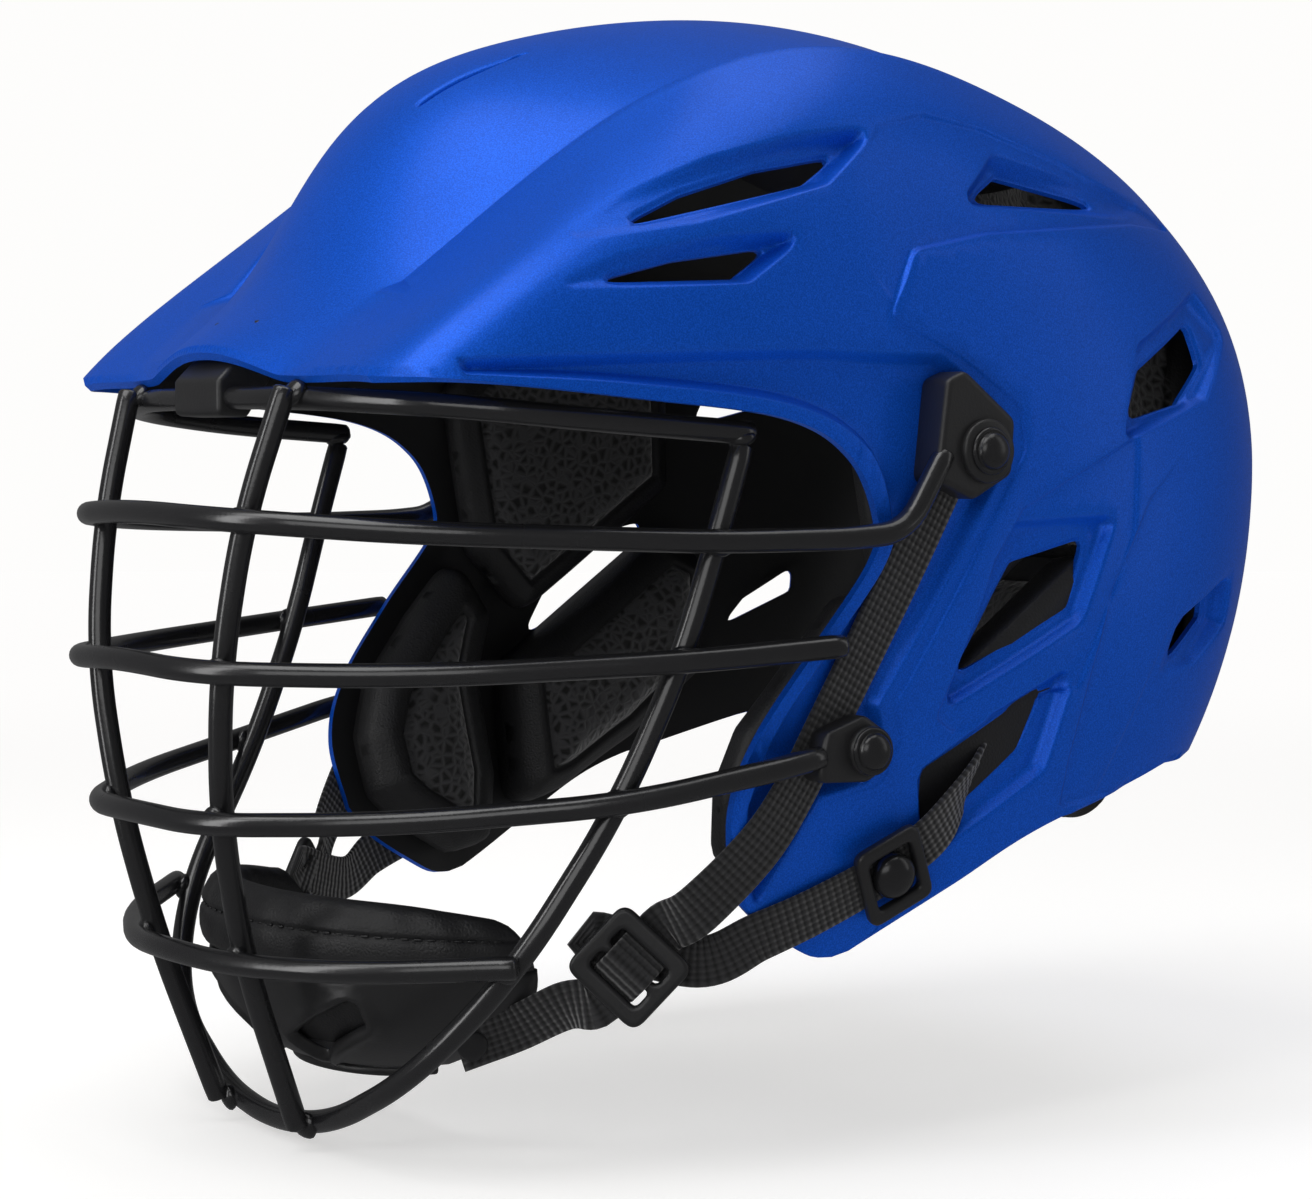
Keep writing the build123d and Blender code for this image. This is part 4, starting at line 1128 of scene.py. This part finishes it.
pair("snap_cap", "helmet", ["snap_cap"], DOME, stand(cap[0], SNAP), cap[1], side_bodies="cap")

# %% [markdown]
# The chin cup: a hard shell with two framed slots, a padded lining rolled over its rim with a
# sewn seam, and the rivets that hold the straps.

# %%
CUP = catmull([(-0.70, 1.50, 0.60, 1.10), (-0.84, 1.525, 0.645, 1.00), (-0.98, 1.50, 0.62, 0.98),
               (-1.10, 1.43, 0.50, 1.02), (-1.20, 1.30, 0.30, 1.08)], .01)


def cup_skin(u, z):
    """Points of the cup's outer form: u runs -1 to 1 round the chin, z is a height share."""
    front, half_wide, back = [np.interp(-z, -CUP[:, 0], CUP[:, k]) for k in (1, 2, 3)]
    t = np.abs(u)
    bulge = front - .45 * (front - back)
    b = [(1 - t) ** 3, 3 * (1 - t) ** 2 * t, 3 * (1 - t) * t * t, t ** 3]
    x = np.sign(u) * (b[1] * .6 * half_wide + (b[2] + b[3]) * half_wide)
    y = -((b[0] + b[1]) * front + b[2] * bulge + b[3] * back)
    return R * np.stack([x, y, z + 0 * x], -1)


def cup_normals(u, z):
    """Outward unit normals of the cup's form."""
    u = np.where(np.abs(u) < 1e-4, 1e-4, u)
    du = cup_skin(np.clip(u + .004, -1, 1), z) - cup_skin(np.clip(u - .004, -1, 1), z)
    dz = cup_skin(u, np.clip(z + .004, -1.2, -.7)) - cup_skin(u, np.clip(z - .004, -1.2, -.7))
    n = np.cross(du, dz)
    n /= np.linalg.norm(n, axis=1)[:, None]
    return n


CUP_SLOT = [(0.12, -1.10), (0.40, -0.965), (0.385, -1.045), (0.15, -1.16)]
WIDE = .62


def cup_flat(points):
    """Flat cup coordinates (u times a width, z) of (x, z) shares on the left."""
    us = np.linspace(0, 1, 401)
    out = []
    for x, z in points:
        xs = cup_skin(us, np.full(401, z))[:, 0] / R
        out.append((np.interp(x, xs, us) * WIDE, z))
    return np.array(out)


RIM, SOLE = -0.90, -1.185
across_cup = np.linspace(-WIDE, WIDE, 90)
rim_line = np.column_stack([across_cup, RIM - .012 * np.cos(across_cup / WIDE * math.pi)])
side_line = np.column_stack([np.full(14, WIDE), np.linspace(RIM, SOLE, 16)[1:-1]])
sole_line = np.column_stack([across_cup[::-1], np.full(90, SOLE)])
cup_edge = np.vstack([rim_line, side_line, sole_line, side_line[::-1] * (-1, 1)])
slot_ring = cup_flat(rounded(CUP_SLOT, .016, .010))
slots = [slot_ring, slot_ring[::-1] * (-1, 1)]
cup_rings = [(offset(s, d), True) for s in slots for d in (-.007, -.014, -.026, -.036)]
gx, gz = np.arange(-WIDE + .012, WIDE - .01, .020), np.arange(SOLE + .012, RIM - .01, .020)
cup_grid = np.array([(x + (.01 if j % 2 else 0), z) for j, z in enumerate(gz) for x in gx])
cup_grid = cup_grid[inside(cup_grid, cup_edge) & (distance(cup_grid, cup_edge) > .010)]
for s in slots:
    cup_grid = cup_grid[signed(cup_grid, s) < -.042]
flat_cup, cup_tris = triangulate(cup_edge, slots, cup_rings, cup_grid)
u_cup, z_cup = flat_cup[:, 0] / WIDE, flat_cup[:, 1]
cup_base, cup_n = cup_skin(u_cup, z_cup), cup_normals(u_cup, z_cup)
to_slot = np.minimum(distance(flat_cup, slots[0]), distance(flat_cup, slots[1]))
to_edge = distance(flat_cup, cup_edge)
slot_frame = ramp(to_slot, .004, .014) * (1 - ramp(to_slot, .026, .038))
sink = .0012 * (1 - ramp(to_slot, .0, .010)) - .0010 * slot_frame + .0010
sink = sink + .0008 * (1 - ramp(to_edge, 0, .014)) ** 2
crease = np.abs(np.abs(u_cup) - (.22 + .35 * (z_cup - SOLE)))
sink = sink + .0006 * (1 - ramp(crease, 0, .05))
cup_out = cup_base - cup_n * sink[:, None]
cup_in = cup_base - cup_n * .0030
cup_rim = rim_edges(cup_tris)
m = len(flat_cup)
cup_faces = [tuple(f) for f in cup_tris] + [tuple(f[::-1] + m) for f in cup_tris]
cup_faces += [(a, b, b + m, a + m) for a, b in cup_rim]
sole_curve = cup_skin(np.linspace(-1, 1, 60), np.full(60, -1.20))[:, :2]
sole = slab(resample(sole_curve, .0012), -.1200, -.1172, .0011)
cup = joined((np.vstack([cup_out, cup_in]), cup_faces), sole)
dress(tidy(make("chin_cup_look", *cup), 2e-6), "chin_piece", ["chin_cup"], HARD)

# The lining's section: how far inside the outer form, in millimetres, and the height share.
ROLL = [(12.0, -1.13), (12.0, -1.05), (12.0, -0.95), (12.0, -0.86), (12.0, -0.78), (11.3, -0.735),
        (9.6, -0.708), (7.4, -0.700), (5.0, -0.700), (2.9, -0.709), (1.3, -0.726), (.5, -0.750),
        (.25, -0.772), (.35, -0.780), (.95, -0.785), (.95, -0.790), (.35, -0.796), (.10, -0.806),
        (.0, -0.83), (.0, -0.855), (.15, -0.875), (.7, -0.888), (3.4, -0.893), (3.4, -0.95),
        (3.4, -1.05), (3.4, -1.13)]
lining_rows = []
left_end, right_end = [(-1, .35), (-.996, .75), (-.985, .94)], [(.985, .94), (.996, .75), (1, .35)]
for u, keep in left_end + [(v, 1) for v in np.linspace(-.965, .965, 110)] + right_end:
    z = np.array([h for _, h in ROLL])
    z = np.where(z > -.9, -.9 + (z + .9) * (1 - .22 * u * u), z)
    uu = np.full(len(z), float(u))
    row = cup_skin(uu, z) - cup_normals(uu, z) * np.array([i for i, _ in ROLL])[:, None] * .001
    wave = .00025 * np.sin(u * 41) * np.array([1 if -.86 < h < -.70 else 0 for _, h in ROLL])
    row = row - cup_normals(uu, z) * wave[:, None]
    lining_rows.append(row.mean(0) + (row - row.mean(0)) * keep)
k = len(ROLL)
lining_faces = [tuple(range(k)), tuple(range(len(lining_rows) * k - k, len(lining_rows) * k))]
for i in range(len(lining_rows) - 1):
    for j in range(k):
        lining_faces.append((i * k + j, i * k + (j + 1) % k, (i + 1) * k + (j + 1) % k, (i + 1) * k + j))
lining = dress(make("chin_lining", np.vstack(lining_rows), lining_faces), "chin_piece", ["chin_pad"],
               HIDE)

stitch = turned([(0, -.0011), (.00022, -.0010), (.00030, -.0006), (.00030, .0006), (.00022, .0010),
                 (0, .0011)], 8)
stitches = []
for u in np.linspace(-.90, .90, 44):
    uu = np.array([u, u + .004])
    zz = np.full(2, -.9 + (-.7875 + .9) * (1 - .22 * u * u))
    p = cup_skin(uu, zz) - cup_normals(uu, zz) * .00075
    stitches.append((stand(stitch[0], seat(p[0], p[1] - p[0], cup_normals(uu, zz)[0])), stitch[1]))
dress(tidy(make("chin_seam_stitches", *joined(*stitches)), 1e-7), "chin_piece", [],
             BLACK)
rivet = turned([(0, -.0028), (.0020, -.0028), (.0020, .0008), (.0040, .0009), (.0040, .0013),
                (.0034, .0019), (.0020, .0023), (0, .0024)], 28)
place = seat(at((0.535, -1.122, -1.080)), (0.90, -0.36, -0.15))
pair("chin_rivet", "chin_piece", ["chin_rivet"], DOME, stand(rivet[0], place), rivet[1])

# %% [markdown]
# Pads. A side pad has a rolled rim, a groove and a raised mesh panel inside it. A pad on the
# middle plane is a row of mesh lumps between two fan angles.

# %%
def split_runs(points, good):
    """The stretches of a closed ring where the mask holds."""
    if good.all():
        return [(points, True)]
    first = int(np.argmin(good))
    points, good = np.roll(points, -first, 0), np.roll(good, -first)
    out, run = [], []
    for ok, p in zip(good, points):
        if ok:
            run.append(p)
        elif run:
            out.append(run)
            run = []
    return [(np.array(r), False) for r in out + [run] if len(r) > 1]


def two_cloths(obj, chosen):
    """Mesh cloth on the chosen faces, leather cloth on the rest."""
    obj.data.materials.append(MESH)
    index = np.zeros(len(obj.data.polygons), np.int32)
    index[:len(chosen)] = chosen
    obj.data.polygons.foreach_set("material_index", index)


def side_pad(name, outline, low, thick, edge, groove):
    """Both pads of a pair on the shell's sides."""
    ring = rounded(outline, .065, .02)
    steps = (.008, .020, .036, .052, groove - .020, groove - .009, groove, groove + .009, groove + .022,
             groove + .045)
    rings = []
    for s in steps:
        q = offset(ring, s)
        rings += split_runs(q, inside(q, ring) & (distance(q, ring) > .94 * s))
    gy = np.arange(ring[:, 0].min(), ring[:, 0].max(), .024)
    gz = np.arange(ring[:, 1].min(), ring[:, 1].max(), .021)
    net = np.array([(y + (.012 if j % 2 else 0), z) for j, z in enumerate(gz) for y in gy])
    net = net[inside(net, ring)]
    net = net[distance(net, ring) > groove + .055]
    spots, tris = triangulate(ring, [], rings, net)
    d = distance(spots, ring)
    angle, t = side_to_skin(spots[:, 0], spots[:, 1])
    base, normal = skin(angle, t), skin_normals(angle, t)
    pillow = np.sqrt(1 - (1 - np.minimum(d / edge, 1)) ** 2)
    depth = low + thick * (.30 + .62 * pillow) - .0020 * np.exp(-((d - groove) / .010) ** 2)
    depth += thick * .07 * ramp(d, groove, groove + .07) - .0009 * np.exp(-((d - .044) / .007) ** 2)
    back = low + .0016 * (1 - ramp(d, 0, .03))
    n = len(spots)
    verts = np.vstack([base - normal * depth[:, None], base - normal * back[:, None]])
    faces = [tuple(f) for f in tris] + [tuple(f[::-1] + n) for f in tris]
    faces += [(a, b, b + n, a + n) for a, b in rim_edges(tris)]
    chosen = distance(spots[tris].mean(1), ring) > groove
    for side_name, points in (("left", verts), ("right", mirrored(verts))):
        obj = dress(make(f"{name}_{side_name}_look", points, faces), "helmet", [f"{name}_{side_name}"],
                    HIDE)
        two_cloths(obj, chosen)


JAW_PAD = [(-0.27, 0.09), (-0.43, -0.09), (-0.59, -0.30), (-0.64, -0.46), (-0.62, -0.64), (-0.54, -0.725),
           (-0.38, -0.82), (-0.24, -0.80), (-0.20, -0.60), (-0.22, -0.30), (-0.16, -0.10)]
EAR_PAD = [(-0.11, -0.26), (0.10, -0.11), (0.46, 0.15), (0.62, 0.08), (0.62, -0.30), (0.34, -0.51),
           (0.06, -0.65), (-0.12, -0.70)]
TEMPLE_PAD = [(-0.21, 0.10), (-0.30, 0.60), (-0.10, 0.86), (0.48, 0.84), (0.50, 0.30), (-0.04, -0.10)]
side_pad("jaw_pad", JAW_PAD, .0075, .0170, .10, .105)
side_pad("ear_pad", EAR_PAD, .0042, .0235, .16, .085)
side_pad("temple_pad", TEMPLE_PAD, .0075, .0140, .12, .080)


def middle_look(name, outline, half, low, thick, edge, grooves, cross_grooves=()):
    """A pad across the middle plane, in lumps parted by grooves."""
    poly = np.array(outline)
    q = np.linspace(-1, 1, 121)
    p = np.linspace(0, 1, 61)
    fan = np.linspace(17, 127, 200)
    starts, ends = [], []
    for x in np.abs(q) * half:
        t = reach_t(fan, np.full(200, max(x, 1e-3)))
        middle = (skin(fan, t) - skin_normals(fan, t) * (low + thick / 2)) / R
        inner_by = signed(middle[:, 1:], poly)
        hit = np.flatnonzero(inner_by > 0)
        a, b = hit[0], hit[-1]
        starts.append(np.interp(0, inner_by[a - 1:a + 1], fan[a - 1:a + 1]))
        ends.append(np.interp(0, inner_by[b + 1:b - 1:-1], fan[b + 1:b - 1:-1]))
    starts, ends = np.array(starts)[:, None], np.array(ends)[:, None]
    round_off = (.55 + .45 * (1 - np.abs(q) ** 9) ** .35)[:, None]
    fans = (starts + ends) / 2 + (ends - starts) * (p - .5) * round_off
    xs = np.repeat(np.abs(q) * half, len(p))
    t = reach_t(fans.ravel(), np.maximum(xs, 1e-3))
    base, normal = skin(fans.ravel(), t), skin_normals(fans.ravel(), t)
    long = np.radians(ends - starts) * 2.6 * R
    rise_p = np.minimum(np.minimum(p, 1 - p) * long / edge, 1)
    rise_q = np.minimum((1 - np.abs(q)) * half * R / edge, 1)[:, None]
    soft = np.sqrt(1 - (1 - rise_p) ** 2) * np.sqrt(1 - (1 - rise_q) ** 2)
    for at_q in grooves:
        soft = soft * (1 - .42 * np.exp(-(np.abs(q - at_q) / .055) ** 1.6))[:, None]
    for at_p in cross_grooves:
        soft = soft * (1 - .36 * np.exp(-(np.abs(p - at_p) / .055) ** 1.6))[None, :]
    depth = low + thick * (.22 + .78 * soft).ravel()
    sign = np.repeat(np.where(q < 0, -1, 1), len(p))[:, None] * (1, 0, 0) + np.array([0, 1, 1])
    base, normal = base * sign, normal * sign
    n, w = len(base), len(p)
    verts = np.vstack([base - normal * depth[:, None], base - normal * low])
    corners = [i * w + j for i in range(len(q) - 1) for j in range(w - 1)]
    quads = [(a, a + 1, a + w + 1, a + w) for a in corners]
    edge_loop = list(range(w)) + [i * w + w - 1 for i in range(1, len(q))]
    edge_loop += [n - 1 - j for j in range(1, w)] + [i * w for i in range(len(q) - 2, 0, -1)]
    faces = quads + [tuple(k + n for k in f[::-1]) for f in quads]
    faces += [(a, b, b + n, a + n) for a, b in zip(edge_loop, edge_loop[1:] + edge_loop[:1])]
    obj = dress(make(f"{name}_look", verts, faces), "helmet", [name], HIDE)
    middles = soft.ravel()[np.array(quads)].mean(1)
    two_cloths(obj, middles > .45)


middle_look("front_pad", [(-1.33, 0.67), (-1.20, 0.98), (-0.98, 1.26), (-0.66, 1.22), (-0.84, 0.67)], .74,
            .0078, .0185, .013, (-.36, .36))
middle_look("crown_pad", [(-0.60, 1.00), (-0.60, 1.80), (0.55, 1.80), (0.55, 1.00)], .56, .0044, .0150,
            .014, (-.33, .33), (.36, .66))
middle_look("rear_pad", [(0.62, 0.10), (0.62, 1.20), (1.40, 1.20), (1.60, 0.10)], .60, .0044, .0160, .014,
            (0,), (.5,))
middle_look("nape_pad", [(0.72, 0.02), (1.60, 0.02), (1.60, -0.50), (1.15, -0.58), (0.66, -0.62)], .58,
            .0044, .0150, .013, (0,))

# %% [markdown]
# The stage: a pale floor and wall, soft studio light and a camera at the photograph's angle.

# %%
def area_light(name, place, aim, size, energy, color=(1, 1, 1)):
    """A soft square light that looks at a point."""
    data = bpy.data.lights.new(name, "AREA")
    data.shape = "RECTANGLE"
    data.size, data.size_y = size
    data.energy = energy
    data.color = color
    obj = bpy.data.objects.new(name, data)
    bpy.context.scene.collection.objects.link(obj)
    obj.location = place
    obj.rotation_euler = (Vector(aim) - Vector(place)).to_track_quat("-Z", "Y").to_euler()
    return obj


AZ, EL, AIM = math.radians(56.0), math.radians(2.85), Vector((0, -0.020, 0))
back = Vector((math.sin(AZ) * math.cos(EL), -math.cos(AZ) * math.cos(EL), math.sin(EL)))
right = Vector((math.cos(AZ), math.sin(AZ), 0))
FLOOR_Z = -0.1370


def plain(name, corners, mat):
    """A flat stage piece from its corners."""
    mesh = bpy.data.meshes.new(name)
    mesh.from_pydata([tuple(c) for c in corners], [], [tuple(range(len(corners)))])
    mesh.materials.append(mat)
    obj = bpy.data.objects.new(name, mesh)
    bpy.context.scene.collection.objects.link(obj)
    obj.visible_glossy = False


# The floor glows as painted light: a little everywhere, which lifts its shadow, and more towards the wall,
# so that the ground runs into the background.
pale, tree, shader = material("pale floor", (0.60, 0.597, 0.59), .7, specular=.1)
coord = tree.nodes.new("ShaderNodeTexCoord")
split = tree.nodes.new("ShaderNodeSeparateXYZ")
tree.links.new(coord.outputs["Object"], split.inputs["Vector"])
slant = node(tree, "ShaderNodeMath", operation="MULTIPLY")
slant.inputs[1].default_value = -math.sin(AZ)
tree.links.new(split.outputs["X"], slant.inputs[0])
behind = node(tree, "ShaderNodeMath", operation="MULTIPLY_ADD")
behind.inputs[1].default_value = math.cos(AZ)
tree.links.new(split.outputs["Y"], behind.inputs[0])
tree.links.new(slant.outputs[0], behind.inputs[2])
far = node(tree, "ShaderNodeMapRange", interpolation_type="SMOOTHSTEP")
far.inputs["From Min"].default_value = .12
far.inputs["From Max"].default_value = 1.5
tree.links.new(behind.outputs[0], far.inputs["Value"])
# On a Mix node inputs 2 and 3 are the two numbers, and 6 and 7 the two colours.
tone = tree.nodes.new("ShaderNodeMix")
tone.data_type = "RGBA"
tone.inputs[6].default_value = (0.60, 0.597, 0.59, 1)
tone.inputs[7].default_value = (0.05, 0.05, 0.05, 1)
# Painted light: the floor's own glow, which lifts its shadow and grows towards the wall while its lit
# colour fades.
glow = tree.nodes.new("ShaderNodeMix")
glow.inputs[2].default_value = .54
glow.inputs[3].default_value = .95
for mix in (tone, glow):
    tree.links.new(far.outputs["Result"], mix.inputs["Factor"])
tree.links.new(tone.outputs[2], shader.inputs["Base Color"])
tree.links.new(glow.outputs[0], shader.inputs["Emission Strength"])
shader.inputs["Emission Color"].default_value = (1.0, .992, .985, 1)
wall_white, _, shader = material("white wall", (0.02, 0.02, 0.02), .9, specular=0.0)
shader.inputs["Emission Color"].default_value = (1.0, .994, .985, 1)
shader.inputs["Emission Strength"].default_value = .975
flat_back = unit((-back.x, -back.y, 0))
flat_right = np.array(right)
floor_at = np.array((0, 0, FLOOR_Z))
plain("floor", [floor_at + flat_right * a + flat_back * b for a,
                b in ((-4, -2), (4, -2), (4, 3.5), (-4, 3.5))], pale)
plain("wall", [floor_at + flat_right * a + flat_back * 3.5 + np.array((0, 0, h)) for a,
               h in ((-4, 0), (4, 0), (4, 5), (-4, 5))], wall_white)


def around(side, up, toward):
    """A place by its distance to the camera's right, up, and toward the camera."""
    return AIM + right * side + Vector((0, 0, 1)) * up + back * toward


area_light("key soft box", around(-.50, 1.30, .40), around(0, 0, 0), (1.1, .9), 10)
area_light("top soft box", around(.35, 1.5, -.1), around(0, 0, 0), (1.2, .8), 5)
area_light("left strip", around(-1.2, .35, .6), around(0, 0, 0), (.30, 1.4), 6.5)
area_light("right strip", around(1.3, .55, .1), around(.05, .03, 0), (.30, 1.4), 1.2)
area_light("front fill", around(-.45, .45, 1.5), around(0, 0, 0), (1.2, .8), 5.4)
world = bpy.data.worlds.new("studio")
bpy.context.scene.world = world
world.use_nodes = True
world.node_tree.nodes["Background"].inputs["Color"].default_value = (.97, .97, .98, 1)
sky = world.node_tree
seen = node(sky, "ShaderNodeLightPath")
strength = node(sky, "ShaderNodeMath", operation="MULTIPLY_ADD")
strength.inputs[1].default_value = .84
strength.inputs[2].default_value = .14
sky.links.new(seen.outputs["Is Camera Ray"], strength.inputs[0])
sky.links.new(strength.outputs[0], sky.nodes["Background"].inputs["Strength"])

cam = bpy.data.cameras.new("camera")
camera = bpy.data.objects.new("camera", cam)
bpy.context.scene.collection.objects.link(camera)
bpy.context.scene.camera = camera
cam.sensor_width = 36.0
cam.lens = 36.0 * 3200 / 1312
camera.location = AIM + back * .900
camera.rotation_euler = (-back).to_track_quat("-Z", "Y").to_euler()
cam.clip_start = .05
bpy.context.scene.view_settings.view_transform = "Standard"
